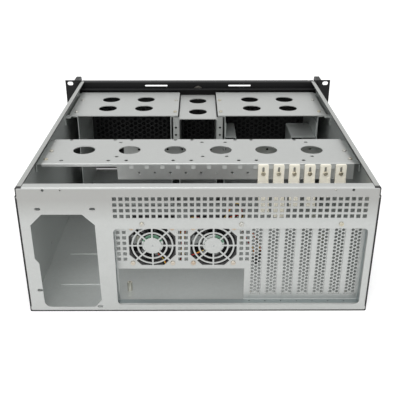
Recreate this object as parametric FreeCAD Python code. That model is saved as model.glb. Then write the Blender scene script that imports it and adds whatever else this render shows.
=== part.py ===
"""Empty rackmount server case, four rack units high, with its top cover off.

Frame, in millimetres: +X is right as seen from behind, +Y runs from the rear panel to the front,
+Z is up. The origin is under the middle of the rear panel, on the surface that the case stands on.
"""

import FreeCAD, Part
import math
import os

from FreeCAD import Placement, Rotation, Vector

os.makedirs("parts", exist_ok=True)

# Sheet metal
sheet = 1.2                   # galvanised steel of the body
front_sheet = 1.5             # painted steel of the front panel and its door
bend = 1.2                    # radius of a fold at the middle of its sheet
seat_gap = 0.1                # between a panel and the part that it is seated in
thread_gap = 0.05             # between a screw's shank and its hole, on the radius
lap = 1.0                     # how far a cutting shape runs past the face that it cuts

# Body
body_width = 430.0
body_length = 460.0
case_height = 177.0           # four rack units, less the clearance
cover_room = 2.2              # from the side rims' top to the full height
rim_depth = 8.7               # reach of a side rim towards the middle
cover_step = 1.2              # the sides step in by this much to take the cover
cover_lap = 10.0              # height of that step below the rim

half_body = body_width / 2
rim_height = case_height - cover_room
side_inner_x = half_body - sheet
upper_inner_x = side_inner_x - cover_step
rim_inner_x = half_body - rim_depth
step_z = rim_height - cover_lap

# Power supply's opening in the rear panel, from its left end and from the floor
power_inset = 14.1            # from the body's left side
power_width = 78.2
power_height = 139.3
power_floor = 6.8
power_corner = 8.6
power_left_step = 5.3         # the lower part of the left edge stands in by this much
power_step_z = [71.6, 78.1]
power_chamfer = 14.5
power_right_z = [17.1, 125.1]
power_foot = 69.4             # where the lower edge ends
slot_length = 7.0             # slotted screw holes round the opening
slot_height = 3.7
power_slot_rise = 7.2         # the upper slots stand this much above the opening
power_slot_x = [10.8, 75.5]
low_power_slots = [(1.6, 32.2), (75.7, 7.5)]
power_left = power_inset - half_body
power_slots = [(power_left + x, power_height + power_slot_rise) for x in power_slot_x]
power_slots += [(power_left + x, z) for x, z in low_power_slots]

# Rear panel
rear_rim_depth = 11.0
rear_return_depth = 12.0
rear_return_foot = 6.0
rear_return_drop = 4.0
rear_foot_gap = 0.6           # dark line between the rear panel and the floor
rim_screw_inset = 24.6        # holes in the rim's face, from a side rim's edge
rim_screw_r = 1.75
rim_peg_inset = 45.3
rim_peg_r = 1.0
rim_hole_drop = 3.8
rim_hole_z = rim_height - rim_hole_drop

# Recess with the board's connector opening, the rear fans and the card slots
recess_gap = 20.3             # from the power supply's opening
recess_inset = 10.0           # from the body's right side
recess_floor = 9.9
recess_top = 120.0
recess_depth = 12.0
recess_corner = 6.0
recess_flange = 12.0
recess_foot = 3.0
port_inset = 1.9
port_width = 158.75
port_height = 46.5
recess_left = power_left + power_width + recess_gap
recess_right = half_body - recess_inset
port_left = recess_left + port_inset
ledge_top = recess_top + sheet

# Square vents above the recess and beside its fans
vent_pitch = 7.62
vent_hole = 5.0
vent_drop = 15.3              # first row, from the side rims' top
vent_inset = 3.6              # first column, from the recess's left end
vent_end_gap = 5.0
vent_floor_gap = 14.0         # least height of a row above the recess
side_vent_hole = 4.7
side_vent_rows = 6
side_vent_drop = 11.6
side_vent_columns = [0, 1, 10, 11, 20, 21]
vent_start_x = recess_left + vent_inset
vent_top_z = rim_height - vent_drop
vent_columns = 1 + int((recess_right - vent_end_gap - vent_start_x) / vent_pitch)
vent_rows = 1 + int((vent_top_z - recess_top - vent_floor_gap) / vent_pitch)
side_vent_top_z = recess_top - side_vent_drop

# Screws that hold the recessed plate
recess_screw_inset = 35.0
recess_screw_pitch = 119.55
recess_screw_rise = 4.8
recess_screw_end_gap = 30.0

# Card slots
card_pitch = 20.32
card_offset = 14.45           # first slot's middle, from the connector opening's right end
card_side_gap = 0.8
aperture_width = 14.3
aperture_foot = 7.6
aperture_drop = 2.0
cover_width = 18.4
cover_sheet = 0.8
cover_tongue_width = 10.2
cover_tongue_drop = 10.0
cover_shoulder = 6.1
cover_taper = 2.0
cover_hole_r = 1.95
cover_hole_pitch = 5.0
cover_hole_rows = 19
cover_hole_drop = 9.0
cover_tab_reach = 9.6
cover_screw_offset = -5.2
cover_screw_setback = 5.6
drain_offset = -7.2
drain_r = 1.0
drain_setback = 4.0
card_start_x = port_left + port_width + card_offset
card_count = 1 + int((recess_right - card_side_gap - cover_width / 2 - card_start_x) / card_pitch)
card_xs = [card_start_x + card_pitch * i for i in range(card_count)]

# Rear fans
fan_size = 60.0
fan_depth = 25.0
fan_corner = 4.0
fan_flange = 4.0
fan_inset = 45.6              # first fan's middle, from the recess's left end
fan_pitch = 75.8
fan_drop = 30.3
fan_hole_spacing = 50.0
fan_bore_r = 28.5
fan_duct_r = 29.8
fan_base_r = 14.0
fan_base_face = 2.5
fan_base_thickness = 3.5
fan_strut_width = 3.0
fan_strut_angles = [30, 120, 210, 300]
fan_bearing_r = 4.0
fan_bearing_length = 12.0
fan_bearing_seat = 1.0
fan_shaft_r = 1.5
shaft_gap = 0.05
shaft_end_gap = 0.5
fan_hub_wall = 1.6
fan_hub_start = 7.5
fan_hub_length = 16.0
fan_blade_count = 7
fan_blade_root_r = 13.2
fan_blade_tip_r = 27.6
fan_blade_thickness = 1.1
fan_blade_setback = 6.7       # middle of a blade, from the hub's open end
fan_root_pitch = 48
fan_root_chord = 12.5
fan_tip_pitch = 32
fan_tip_chord = 17.0
fan_stator_r = 11.0
fan_stator_length = 8.0
fan_stator_gap = 1.2
fan_label_r = 13.4
fan_label_thickness = 0.2
fan_left_x = recess_left + fan_inset
fan_right_x = fan_left_x + fan_pitch
fan_y = recess_depth + sheet
fan_z = recess_top - fan_drop

# Finger grille over each fan, cut out of the recess's back plate
grille_half_width = 28.9
grille_half_height = 28.1
grille_chamfer = 15.0
grille_ring_r = [17.95, 25.1]
grille_bar = 2.0
grille_disc_r = 11.0
grille_spokes = 8
grille_dimple_r = 1.4
grille_dimple_height = 0.5

# Fan leads and their plugs
lead_r = 1.1
lead_bend_share = 0.45
plug_width = 7.6
plug_depth = 5.0
plug_length = 12.0
plug_corner = 0.6
plug_wall = 0.8
plug_pocket = 6.0
lead_notch_width = 5.0
lead_notch_depth = 2.9
left_lead_route = [
    (-49.6, 14.4, 77.2), (-43.0, 14.5, 66.8), (-38.0, 14.4, 57.1), (-27.0, 16.5, 56.6),
    (-21.4, 20.5, 66.0), (-20.7, 23.0, 84.0), (-22.2, 23.4, 103.0), (-19.5, 19.6, 120.5),
    (-10.5, 10.8, 128.4), (4.0, 6.3, 125.4), (20.0, 6.1, 123.8), (31.2, 6.8, 128.0), (36.6, 9.3, 139.2),
    (42.2, 12.8, 146.6), (49.4, 17.4, 145.0), (53.6, 20.6, 135.6), (54.5, 21.5, 122.0),
    (54.9, 21.7, 106.0), (60.2, 22.4, 92.5), (68.6, 23.0, 82.0), (72.0, 23.4, 68.0),
]
right_lead_route = [
    (6.5, 14.4, 82.5), (-3.7, 14.4, 76.2), (-13.3, 14.6, 71.1), (-18.2, 16.5, 74.5), (-17.6, 20.5, 85.0),
    (-16.6, 25.0, 102.0), (-14.5, 22.8, 119.0), (-6.5, 14.6, 128.6), (7.0, 9.9, 127.2), (22.0, 9.4, 124.2),
    (34.0, 10.6, 124.0), (43.0, 17.0, 129.5), (51.5, 24.4, 125.5), (58.0, 28.2, 113.5),
    (66.4, 28.8, 100.0), (75.8, 28.2, 87.0), (79.6, 27.6, 73.0),
]

# Cross bar with its comb
bar_drop = 9.0                # from the side rims' top
bar_rear_y = 94.0
bar_front_y = 185.0
bar_end_gap = 8.3
bar_hole_r = 15.0
bar_hole_inset = 48.2
bar_hole_count = 6
bar_hole_y = 142.0
bar_lip_depth = 4.4
bar_front_lip_depth = 10.0
comb_height = 22.8
comb_corner = 3.0
comb_hole_r = 1.5
comb_hole_count = 14
comb_offset = -7.5            # last hole, from the last card slot's middle
comb_end = 28.6
comb_hole_drop = 13.4
hook_offset = -10.2
hook_width = 5.6
hook_reach = 1.1
hook_drop = 2.6
hook_height = 5.0
hook_sheet = 0.9
bar_small_r = 2.6
bar_small_holes = {
    104.4: [-180.4, -118.2, -94.6, -32.7, -8.9, 53.7, 77.0, 139.3],
    118.2: [-108.8, 6.3, 38.4, 152.8],
    171.2: [-109.1, 5.8, 38.4, 152.5],
    181.0: [-180.3, -118.2, -94.4, -32.3, -8.6, 53.0, 75.9, 137.4],
}
bar_screws = [(4.4, 138.0), (2.9, 108.4)]     # from the bar's end, and from the rear
bracket_reach = 22.0
bracket_drop = 11.0
bracket_rear_gap = 1.2
bracket_front_gap = 2.4
stiffener_y = 174.6           # middle of its upright leg
stiffener_width = 14.0
stiffener_depth = 25.0
stiffener_end_gap = 1.6
stiffener_hole_r = 1.9
stiffener_hole_offset = -14.5 # first hole, from the last card slot's middle
stiffener_hole_drop = 11.8
bar_top = rim_height - bar_drop
bar_half_length = upper_inner_x - bar_end_gap
bar_hole_start_x = bar_hole_inset - bar_half_length
bar_hole_pitch = -2 * bar_hole_start_x / (bar_hole_count - 1)
comb_bottom = bar_top - comb_height
comb_hole_z = bar_top - comb_hole_drop
comb_xs = [card_xs[-1] + comb_offset - card_pitch * i for i in range(comb_hole_count)]
comb_left = comb_xs[-1] - comb_end
stiffener_xs = [card_xs[-1] + stiffener_hole_offset - card_pitch * i for i in range(comb_hole_count)]
hook_top_z = bar_top - hook_drop

# Card hold-downs on the comb
hold_down_width = 14.0
hold_down_thickness = 3.2
hold_down_drop = 1.4
hold_down_straight = 26.4
hold_down_reach = [46.0, 50.0, 34.0, 34.0, 20.0, 20.0]
hold_down_travel = 7.5
hold_down_lean = 3.4
hold_down_toe = 3.5
hold_down_heel = 6.0
hold_down_corner = 1.5
hold_down_rib_width = 2.0
hold_down_rib_height = 0.8
hold_down_rib_inset = 1.2
hold_down_rib_drop = 6.0
hold_down_rib_toe = 4.0
hold_down_slot_gap = 0.15
hold_down_top = bar_top - hold_down_drop
hold_down_bend_z = hold_down_top - hold_down_straight
hold_down_xs = comb_xs[len(hold_down_reach) - 1::-1]

# Drive cages
cage_front_gap = 20.0         # from the front panel
cage_length = 132.0
cage_plate_drop = 14.8        # from the side rims' top
bay_inner_x = 44.6
bay_side_gap = 20.1           # between a wide bay and the body's side
cage_plate_inner_x = 32.4
cage_plate_gap = 5.3
cage_hole_r = 15.0
cage_hole_inset = [45.4, 105.7]       # from the bay's inner wall
cage_hole_setback = [93.0, 43.0]      # from the cage's front
cage_outer_flange = 8.0
cage_inner_flange = 11.5
cage_screw_inner = 7.1
cage_screw_outer = 5.3
cage_screw_setback = [112.0, 48.0]
centre_cage_drop = 4.7        # from the wide cages' top plates
centre_cage_half = 31.3
centre_cage_lead = 6.0        # it starts this much nearer to the rear than the wide cages
centre_top_setback = 4.0
centre_hole_setback = [97.0, 36.0]
centre_ear_x = 40.0
centre_ear_drop = 1.6
centre_ear_foot = 48.0        # the ears stop this far above the floor flanges
centre_ear_hole_x = 35.7
centre_ear_hole_drop = [16.9, 29.3]
centre_ear_hole_r = 1.9
wall_bracket_reach = 9.0
wall_bracket_drop = 12.0
wall_bracket_length = 14.0
drive_shelf_drop = 37.0
drive_shelf_left = 18.4       # width of the rail on the inner wall
drive_shelf_right = 40.7      # width of the rail on the outer wall
drive_leg_drop = 61.0
drive_shelf_rise = 24.0
drive_shelf_setback = 1.0
drive_shelf_length = 69.0
cage_front_y = body_length - cage_front_gap
cage_rear_y = cage_front_y - cage_length
centre_rear_y = cage_rear_y - centre_cage_lead
bay_outer_x = side_inner_x - bay_side_gap
cage_plate_top = rim_height - cage_plate_drop
cage_hole_x = [bay_inner_x + x for x in cage_hole_inset]
cage_hole_y = [cage_front_y - y for y in cage_hole_setback]
cage_screw_x = [bay_inner_x - cage_screw_inner, bay_outer_x + cage_screw_outer]
cage_screw_y = [cage_front_y - y for y in cage_screw_setback]
centre_cage_top = cage_plate_top - centre_cage_drop
centre_ear_top = cage_plate_top - centre_ear_drop
drive_shelf_z = cage_plate_top - drive_shelf_drop

# Front panel
ear_width = 26.3              # each ear's reach past the body
ear_hole_inset = 8.75         # from the ear's end
ear_hole_drop = 5.95          # from the ear's top and bottom
ear_slot_length = 10.3
ear_slot_r = 3.4
panel_lip_inset = 3.2         # the lips lie this much inside the ears' top and bottom
panel_lip_depth = 10.5
panel_lip_gap = 3.0           # between a lip's end and the body's side
panel_return_depth = 18.0
panel_return_foot = 2.0
window_side_gap = 19.0
window_floor = 14.0
window_drop = 39.0
light_slot_inner_x = 55.5
light_slot_length = 42.0
light_slot_height = 3.0
light_slot_drop = 10.1
panel_half_width = half_body + ear_width
panel_front_y = body_length + front_sheet
panel_lip_half = half_body - panel_lip_gap
window_half_width = half_body - window_side_gap
window_top = case_height - window_drop
light_slot_z = case_height - light_slot_drop
ear_hole_x = panel_half_width - ear_hole_inset

# Mesh behind the window, and the angle above it
mesh_margin = 5.0
mesh_top_margin = 3.0
mesh_hole_r = 3.2
mesh_pitch = 9.0
crossmember_drop = 13.2       # from the full height
crossmember_depth = 11.5
crossmember_leg = 18.0
crossmember_cam_room = 3.8    # between the angle and the front panel, where the lock's cam turns
crossmember_top = case_height - crossmember_drop

# Door and dust filter
door_side_gap = 8.0
door_gap = 0.7
door_depth = 10.5             # from the panel's face to the back of the door's face
door_return_gap = 1.0
door_slot_height = 3.4
door_slot_drop = 3.4
hinge_inset = 3.5
hinge_setback = 3.2
hinge_pin_r = 2.0
hinge_pin_gap = 0.05
hinge_knuckle_r = 3.1
hinge_knuckle_length = 16.0
louvre_length = 84.0
louvre_height = 4.0
louvre_pitch_z = 13.0
louvre_pitch_x = 94.0
louvre_foot = 10.0
louvre_drop = 9.0
filter_thickness = 4.0
filter_side_gap = 8.0
filter_rise = 2.0
door_half_width = half_body - door_side_gap
door_face_y = panel_front_y + door_depth
door_front_y = door_face_y + front_sheet
hinge_x = door_half_width - hinge_inset
hinge_y = door_face_y - hinge_setback
louvre_floor = window_floor + louvre_foot
louvre_columns = int(2 * window_half_width / louvre_pitch_x)
louvre_rows = 1 + int((window_top - louvre_drop - louvre_floor) / louvre_pitch_z)

# Lock
lock_drop = 19.6              # from the full height
lock_r = 8.7
lock_gap = 0.4
lock_neck_step = 1.0
lock_back_gap = 0.2
lock_head_r = 10.5
lock_head_height = 2.5
plug_r = 5.0
plug_tail_r = 1.6
cam_length = 16.0
cam_width = 5.4
cam_thickness = 1.6
cam_gap = 1.0
cam_back_gap = 0.6
keyway_width = 1.2
keyway_depth = 6.0
keyway_half_height = 3.5
lock_z = case_height - lock_drop

# Handles
handle_offset = 6.5           # from the body's side to the handle's middle
handle_width = 8.0
handle_inset = 0.5            # from the ear's top and bottom
handle_reach = 34.0
handle_grip = 11.0
handle_corner = 8.0
handle_inner_corner = 5.6
handle_bore = 10.0
handle_x = half_body + handle_offset
handle_bottom = handle_inset
handle_top = case_height - handle_inset

# Screws
small_screw_r = 1.5
small_head_r = 2.9
small_head_height = 1.7
card_head_r = 3.4
card_head_height = 2.1
fan_screw_r = 2.1
fan_head_r = 3.0
fan_screw_reach = 7.0
screw_tip = 0.6               # how far a screw stands out of the last sheet
recess_socket = 0.6           # width of a cross recess's arm
recess_socket_depth = 0.7
recess_arm_share = 0.55
handle_screw_r = 2.0
handle_screw_head_r = 3.4
handle_screw_reach = 8.0

# Standoffs, ribs and rivets
standoff_flats = 6.0
standoff_height = 12.6
standoff_hole_r = 1.4
standoff_hole_depth = 6.0
standoff_wall_gap = 4.0
board_inset = 8.7             # first column of holes, from the connector opening's left end
board_columns = [0.0, 157.5, 281.9]
board_rows = [(46.5, 23.7, 23.7), (178.6, 178.6, 178.6), (251.0, 251.0, 251.0)]
rib_y = [60.6, 141.0]
rib_inset = 10.9              # from the power supply's opening's left end
rib_length = 78.0
rib_width = 4.0
rib_height = 1.0
rib_edge_r = 0.8
rivet_r = 2.6
rivet_height = 1.1
rivet_rear_y = 133.3
rivet_front_gap = 60.0
rivet_z = [24.2, 88.0]
rib_left = power_left + rib_inset
board_fits = [x for x in board_columns if port_left + board_inset + x < side_inner_x - standoff_wall_gap]
board_holes = [(port_left + board_inset + x, row[i]) for row in board_rows for i, x in enumerate(board_fits)]

# --- Shapes -----------------------------------------------------------------------------------------------

turns = {"XY": Rotation(), "XZ": Rotation(Vector(1, 0, 0), 90), "YZ": Rotation(Vector(1, 1, 1), 120)}


def prism(face, plane, low, high):
    """Extrude a face drawn in plane XY, XZ or YZ so that it fills low to high across that plane."""
    solid = face.extrude(Vector(0, 0, high - low))
    start = -high if plane == "XZ" else low
    solid.Placement = Placement(Vector(), turns[plane]) * Placement(Vector(0, 0, start), Rotation())
    return solid


def box(x0, x1, y0, y1, z0, z1):
    return Part.makeBox(x1 - x0, y1 - y0, z1 - z0, Vector(x0, y0, z0))


def cylinder(radius, start, direction, length):
    return Part.makeCylinder(radius, length, Vector(*start), Vector(*direction))


def joined(first, *others):
    return first.fuse(list(others)).removeSplitter()


def moved(shape, x=0.0, y=0.0, z=0.0):
    copy = shape.copy()
    copy.translate(Vector(x, y, z))
    return copy


def mirrored(shape):
    """The same piece on the other side of the case."""
    return shape.mirror(Vector(), Vector(1, 0, 0))


def group(shapes):
    return Part.makeCompound(shapes)


def polygon(points):
    return Part.makePolygon([Vector(u, v, 0) for u, v in points + points[:1]])


def rectangle(u0, u1, v0, v1):
    return polygon([(u0, v0), (u1, v0), (u1, v1), (u0, v1)])


def hole_rectangle(u, v, width, height):
    """A rectangle that runs the other way round, as a hole in a face."""
    a, b = width / 2, height / 2
    return polygon([(u - a, v - b), (u - a, v + b), (u + a, v + b), (u + a, v - b)])


def hole_circle(u, v, radius):
    return Part.Wire([Part.Circle(Vector(u, v, 0), Vector(0, 0, -1), radius).toShape()])


def rounded(points, radius):
    """A closed outline with every corner rounded."""
    corners = [Vector(u, v, 0) for u, v in points]
    edges = []
    ends = []
    for i, corner in enumerate(corners):
        back = (corners[i - 1] - corner).normalize()
        ahead = (corners[(i + 1) % len(corners)] - corner).normalize()
        half = back.getAngle(ahead) / 2
        reach = radius / math.tan(half)
        middle = corner + (back + ahead).normalize() * (radius / math.sin(half) - radius)
        ends.append((corner + back * reach, middle, corner + ahead * reach))
    for i, (arrive, middle, leave) in enumerate(ends):
        edges.append(Part.Arc(arrive, middle, leave).toShape())
        following = ends[(i + 1) % len(ends)][0]
        if leave.distanceToPoint(following) > 1e-6:
            edges.append(Part.LineSegment(leave, following).toShape())
    return Part.Wire(edges)


def rounded_rectangle(u0, u1, v0, v1, radius):
    return rounded([(u0, v0), (u1, v0), (u1, v1), (u0, v1)], radius)


def slotted(u, v, length, radius):
    """An oblong outline that lies along u, as a face."""
    half = length / 2 - radius
    ends = []
    for side in (1, -1):
        near, far = u + side * half, u + side * (half + radius)
        start, end = Vector(near, v - side * radius, 0), Vector(near, v + side * radius, 0)
        ends.append(Part.Arc(start, Vector(far, v, 0), end))
    right, left = ends
    top = Part.LineSegment(Vector(u + half, v + radius, 0), Vector(u - half, v + radius, 0))
    bottom = Part.LineSegment(Vector(u - half, v - radius, 0), Vector(u + half, v - radius, 0))
    return Part.Face(Part.Wire([right.toShape(), top.toShape(), left.toShape(), bottom.toShape()]))


def folded(points, thickness=sheet, radius=bend):
    """Section of a folded sheet. The points are the middle line's corners, and each fold gets the radius."""
    corners = [Vector(u, v, 0) for u, v in points]
    sides = ([], [])
    for i, corner in enumerate(corners):
        back = corners[i - 1] - corner if i else None
        ahead = corners[i + 1] - corner if i + 1 < len(corners) else None
        along = (ahead if ahead else back * -1).normalize()
        normal = Vector(-along.y, along.x, 0)
        if back is None or ahead is None:
            for side, sign in zip(sides, (1, -1)):
                side.append([corner + normal * (sign * thickness / 2)])
            continue
        back.normalize()
        ahead.normalize()
        half = back.getAngle(ahead) / 2
        reach = radius / math.tan(half)
        inward = (back + ahead).normalize()
        centre = corner + inward * (radius / math.sin(half))
        for side, sign in zip(sides, (1, -1)):
            turn = normal.dot(inward) * sign
            arc = radius - math.copysign(thickness / 2, turn)
            arrive = (corner + back * reach - centre).normalize() * arc + centre
            leave = (corner + ahead * reach - centre).normalize() * arc + centre
            side.append([arrive, centre - inward * arc, leave])
    edges = []
    outline = sides[0] + [stretch[::-1] for stretch in sides[1][::-1]]
    for i, stretch in enumerate(outline):
        if len(stretch) == 3:
            edges.append(Part.Arc(*stretch).toShape())
        edges.append(Part.LineSegment(stretch[-1], outline[(i + 1) % len(outline)][0]).toShape())
    return Part.Face(Part.Wire(edges))


def aimed(shape, point, direction):
    """Turn a piece that was drawn along +Z so that it points along direction from point."""
    copy = shape.copy()
    copy.Placement = Placement(Vector(*point), Rotation(Vector(0, 0, 1), Vector(*direction)))
    return copy


def screw(head_r, head_height, shank_r, length):
    """A pan-head screw with a cross recess. Its seat is at z = 0 and its shank runs down."""
    head = cylinder(head_r, (0, 0, 0), (0, 0, 1), head_height)
    rim = [edge for edge in head.Edges if edge.Closed and edge.CenterOfMass.z > head_height / 2]
    head = head.makeFillet(head_height / 2, rim)
    arm = head_r * recess_arm_share
    top = head_height - recess_socket_depth
    half = recess_socket / 2
    cross = box(-arm, arm, -half, half, top, head_height)
    cross = cross.fuse(box(-half, half, -arm, arm, top, head_height))
    shank = cylinder(shank_r, (0, 0, -length), (0, 0, 1), length)
    return joined(head.cut(cross), shank)


def drilled(shape, radius, points, direction, length):
    """Cut round holes that start at each point."""
    return shape.cut([cylinder(radius, point, direction, length) for point in points])


# --- Body -------------------------------------------------------------------------------------------------


def chassis_tray():
    """Floor and sides in one folded sheet, with the rims that the cover lies on."""
    wall = body_width / 2 - sheet / 2
    upper = wall - cover_step
    rim = rim_height - sheet / 2
    half = [(rim_inner_x, rim), (upper, rim), (upper, step_z), (wall, step_z - cover_step), (wall, sheet / 2)]
    section = folded([(-u, v) for u, v in half] + half[::-1])
    tray = prism(section, "XZ", 0, body_length)
    ribs = []
    for y in rib_y:
        bar = slotted(rib_left + rib_length / 2, y, rib_length, rib_width / 2)
        ribs.append(prism(bar, "XY", sheet / 2, sheet + rib_height))
    tray = joined(tray, *ribs)
    tops = [edge for edge in tray.Edges if abs(edge.BoundBox.ZMin - sheet - rib_height) < 1e-6
            and edge.BoundBox.ZLength < 1e-6 and edge.BoundBox.XMax < 0]
    return tray.makeFillet(rib_edge_r, tops)


def power_opening():
    """The power supply's cut-out, with its one rounded corner."""
    left = power_left + power_left_step
    right = power_left + power_width
    low, high = power_step_z
    foot, shoulder = power_right_z
    points = [(left - lap / 2, low), (power_left, high), (power_left, power_height - power_chamfer),
              (power_left + power_chamfer, power_height), (right - power_chamfer - lap, power_height),
              (right - lap, shoulder), (right, foot), (power_left + power_foot, power_floor),
              (left + power_corner, power_floor)]
    line = [Part.LineSegment(Vector(*a, 0), Vector(*b, 0)).toShape() for a, b in zip(points, points[1:])]
    diagonal = power_corner * (1 - math.sqrt(0.5))
    start, end = Vector(left + power_corner, power_floor, 0), Vector(left, power_floor + power_corner, 0)
    line.append(Part.Arc(start, Vector(left + diagonal, power_floor + diagonal, 0), end).toShape())
    line.append(Part.LineSegment(end, Vector(*points[0], 0)).toShape())
    return Part.Wire(line)


def rear_panel():
    """The rear panel: its perforated sheet, a rim along the top and a return along each side."""
    wall = side_inner_x - seat_gap
    upper = upper_inner_x - seat_gap
    rim_end = rim_inner_x - 2 * seat_gap
    shoulder = rim_height - sheet - seat_gap
    rim_z = rim_height - 2 * bend - sheet
    return_floor, return_top = sheet + rear_return_foot, step_z - rear_return_drop
    fold = sheet + bend
    foot = sheet + rear_foot_gap
    half = [(wall - bend, foot), (wall, foot + bend), (wall, return_floor),
            (wall - fold, return_floor), (wall - fold, return_top), (wall, return_top),
            (wall, step_z - cover_step - sheet), (upper, step_z - sheet), (upper, shoulder - bend),
            (upper - bend, shoulder), (rim_end, shoulder), (rim_end, rim_z)]
    outline = polygon([(-u, v) for u, v in half[::-1]] + half)
    holes = [power_opening()]
    holes.append(rounded_rectangle(recess_left, recess_right, recess_floor, recess_top, recess_corner))
    for row in range(vent_rows):
        for column in range(vent_columns):
            x = vent_start_x + vent_pitch * column
            holes.append(hole_rectangle(x, vent_top_z - vent_pitch * row, vent_hole, vent_hole))
    holes[1].reverse()
    panel = prism(Part.Face([outline] + holes), "XZ", 0, sheet)
    middle = sheet / 2
    top = rim_height - middle
    rim = folded([(middle, rim_z - fold), (middle, top), (rear_rim_depth, top)])
    side = folded([(wall - 2 * fold, middle), (wall - middle, middle), (wall - middle, rear_return_depth)])
    side = prism(side, "XY", return_floor, return_top)
    panel = joined(panel, prism(rim, "YZ", -rim_end, rim_end), side, mirrored(side))
    cuts = []
    for x, z in power_slots:
        cuts.append(prism(slotted(x, z, slot_length, slot_height / 2), "XZ", -lap, sheet + lap))
    for sign in (-1, 1):
        for inset, radius in ((rim_screw_inset, rim_screw_r), (rim_peg_inset, rim_peg_r)):
            place = (sign * (rim_inner_x - inset), -lap, rim_hole_z)
            cuts.append(cylinder(radius, place, (0, 1, 0), sheet + 2 * lap))
    for x, z in recess_screws():
        cuts.append(cylinder(small_screw_r + thread_gap, (x, -lap, z), (0, 1, 0), sheet + 2 * lap))
    return panel.cut(cuts)


def recess_screws():
    first = recess_left + recess_screw_inset
    count = 1 + int((recess_right - recess_screw_end_gap - first) / recess_screw_pitch)
    return [(first + recess_screw_pitch * i, ledge_top + recess_screw_rise) for i in range(count)]


# --- Recess -----------------------------------------------------------------------------------------------


def grille_cuts(x, z):
    """The openings between a finger grille's rings and spokes."""
    a, b, c = grille_half_width, grille_half_height, grille_chamfer
    upper = [(a, b - c), (a - c, b), (c - a, b), (-a, b - c)]
    corner = upper + [(-x, -z) for x, z in upper]
    opening = Part.Face(polygon(corner))
    webs = [Part.Face(Part.Wire([Part.makeCircle(grille_disc_r)]))]
    for radius in grille_ring_r:
        outer = Part.Face(Part.Wire([Part.makeCircle(radius + grille_bar / 2)]))
        webs.append(outer.cut(Part.Face(Part.Wire([Part.makeCircle(radius - grille_bar / 2)]))))
    for i in range(grille_spokes // 2):
        spoke = Part.Face(rectangle(-2 * a, 2 * a, -grille_bar / 2, grille_bar / 2))
        spoke.rotate(Vector(), Vector(0, 0, 1), 180 * i / (grille_spokes // 2))
        webs.append(spoke)
    gaps = opening.cut(webs)
    return [moved(prism(face, "XZ", recess_depth - lap, fan_y + lap), x, 0, z) for face in gaps.Faces]


def io_backplate():
    """The recessed plate: a folded sheet with its two ends, openings, grilles and screw holes."""
    lip = sheet * 1.5 + seat_gap
    back = recess_depth + sheet / 2
    top = recess_top + sheet / 2
    floor = recess_floor - sheet / 2
    section = folded([(lip, ledge_top + recess_flange), (lip, top), (back, top), (back, floor),
                      (lip, floor), (lip, sheet + recess_foot)])
    left, right = recess_left - sheet, recess_right + sheet
    plate = prism(section, "YZ", left, right)
    inner = sheet + seat_gap
    ends = [box(x, x + sheet, inner, fan_y, recess_floor - sheet, ledge_top) for x in (left, recess_right)]
    plate = joined(plate, *ends)
    through = (recess_depth - lap, fan_y + lap)
    cuts = [box(port_left, port_left + port_width, *through, recess_floor, recess_floor + port_height)]
    for x in card_xs:
        half = aperture_width / 2
        low, high = recess_floor + aperture_foot, recess_top - aperture_drop
        cuts.append(box(x - half, x + half, *through, low, high))
        drain = (x + drain_offset, recess_depth - drain_setback, 0)
        cuts.append(cylinder(drain_r, drain, (0, 0, 1), recess_floor + lap))
        hole = (x + cover_screw_offset, card_screw_y(), recess_top - lap)
        cuts.append(cylinder(small_screw_r + thread_gap, hole, (0, 0, 1), sheet + 2 * lap))
    half = side_vent_hole / 2
    for column in side_vent_columns:
        x = vent_start_x + vent_pitch * column
        for row in range(side_vent_rows):
            z = side_vent_top_z - vent_pitch * row
            cuts.append(box(x - half, x + half, *through, z - half, z + half))
    for x in (fan_left_x, fan_right_x):
        cuts += grille_cuts(x, fan_z)
    for x, z in fan_screw_places():
        place = (x, recess_depth - lap, z)
        cuts.append(cylinder(fan_screw_r + thread_gap, place, (0, 1, 0), sheet + 2 * lap))
    for x, z in recess_screws():
        cuts.append(cylinder(small_screw_r + thread_gap, (x, 0, z), (0, 1, 0), 2 * lip))
    plate = plate.cut(cuts)
    dimples = []
    for x in (fan_left_x, fan_right_x):
        ball_r = (grille_dimple_r ** 2 + grille_dimple_height ** 2) / (2 * grille_dimple_height)
        ball = Part.makeSphere(ball_r, Vector(x, recess_depth - grille_dimple_height + ball_r, fan_z))
        dimples.append(ball.common(box(x - ball_r, x + ball_r, 0, recess_depth + sheet / 2, fan_z - ball_r,
                                       fan_z + ball_r)))
    return joined(plate, *dimples)


def card_screw_y():
    return fan_y - cover_screw_setback


def slot_cover():
    """A perforated card-slot cover, drawn at x = 0: strip, tongue below and tab over the ledge."""
    half = cover_width / 2
    tongue = cover_tongue_width / 2
    shoulder = recess_floor + cover_shoulder
    tongue_end = shoulder - cover_tongue_drop
    fold_z = ledge_top - bend
    outline = polygon([(-half, fold_z), (-half, shoulder + cover_taper), (-tongue, shoulder - cover_taper),
                       (-tongue, tongue_end), (tongue, tongue_end),
                       (tongue, shoulder - cover_taper), (half, shoulder + cover_taper), (half, fold_z)])
    column_step = cover_hole_pitch * math.sqrt(3) / 2
    holes = []
    for column in (-1, 0, 1):
        for row in range(cover_hole_rows):
            z = recess_top - cover_hole_drop - cover_hole_pitch * row
            if column == 0:
                z += cover_hole_pitch / 2
            holes.append(hole_circle(column * column_step, z, cover_hole_r))
    strip = prism(Part.Face([outline] + holes), "XZ", fan_y, fan_y + cover_sheet)
    back = fan_y + cover_sheet / 2
    tab_z = ledge_top + cover_sheet / 2
    tab = [(back, fold_z - 2 * bend), (back, tab_z), (fan_y - cover_tab_reach, tab_z)]
    section = folded(tab, cover_sheet)
    cover = joined(strip, prism(section, "YZ", -half, half))
    place = (cover_screw_offset, card_screw_y(), recess_top)
    return drilled(cover, small_screw_r + 4 * thread_gap, [place], (0, 0, 1), 4 * sheet)


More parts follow.
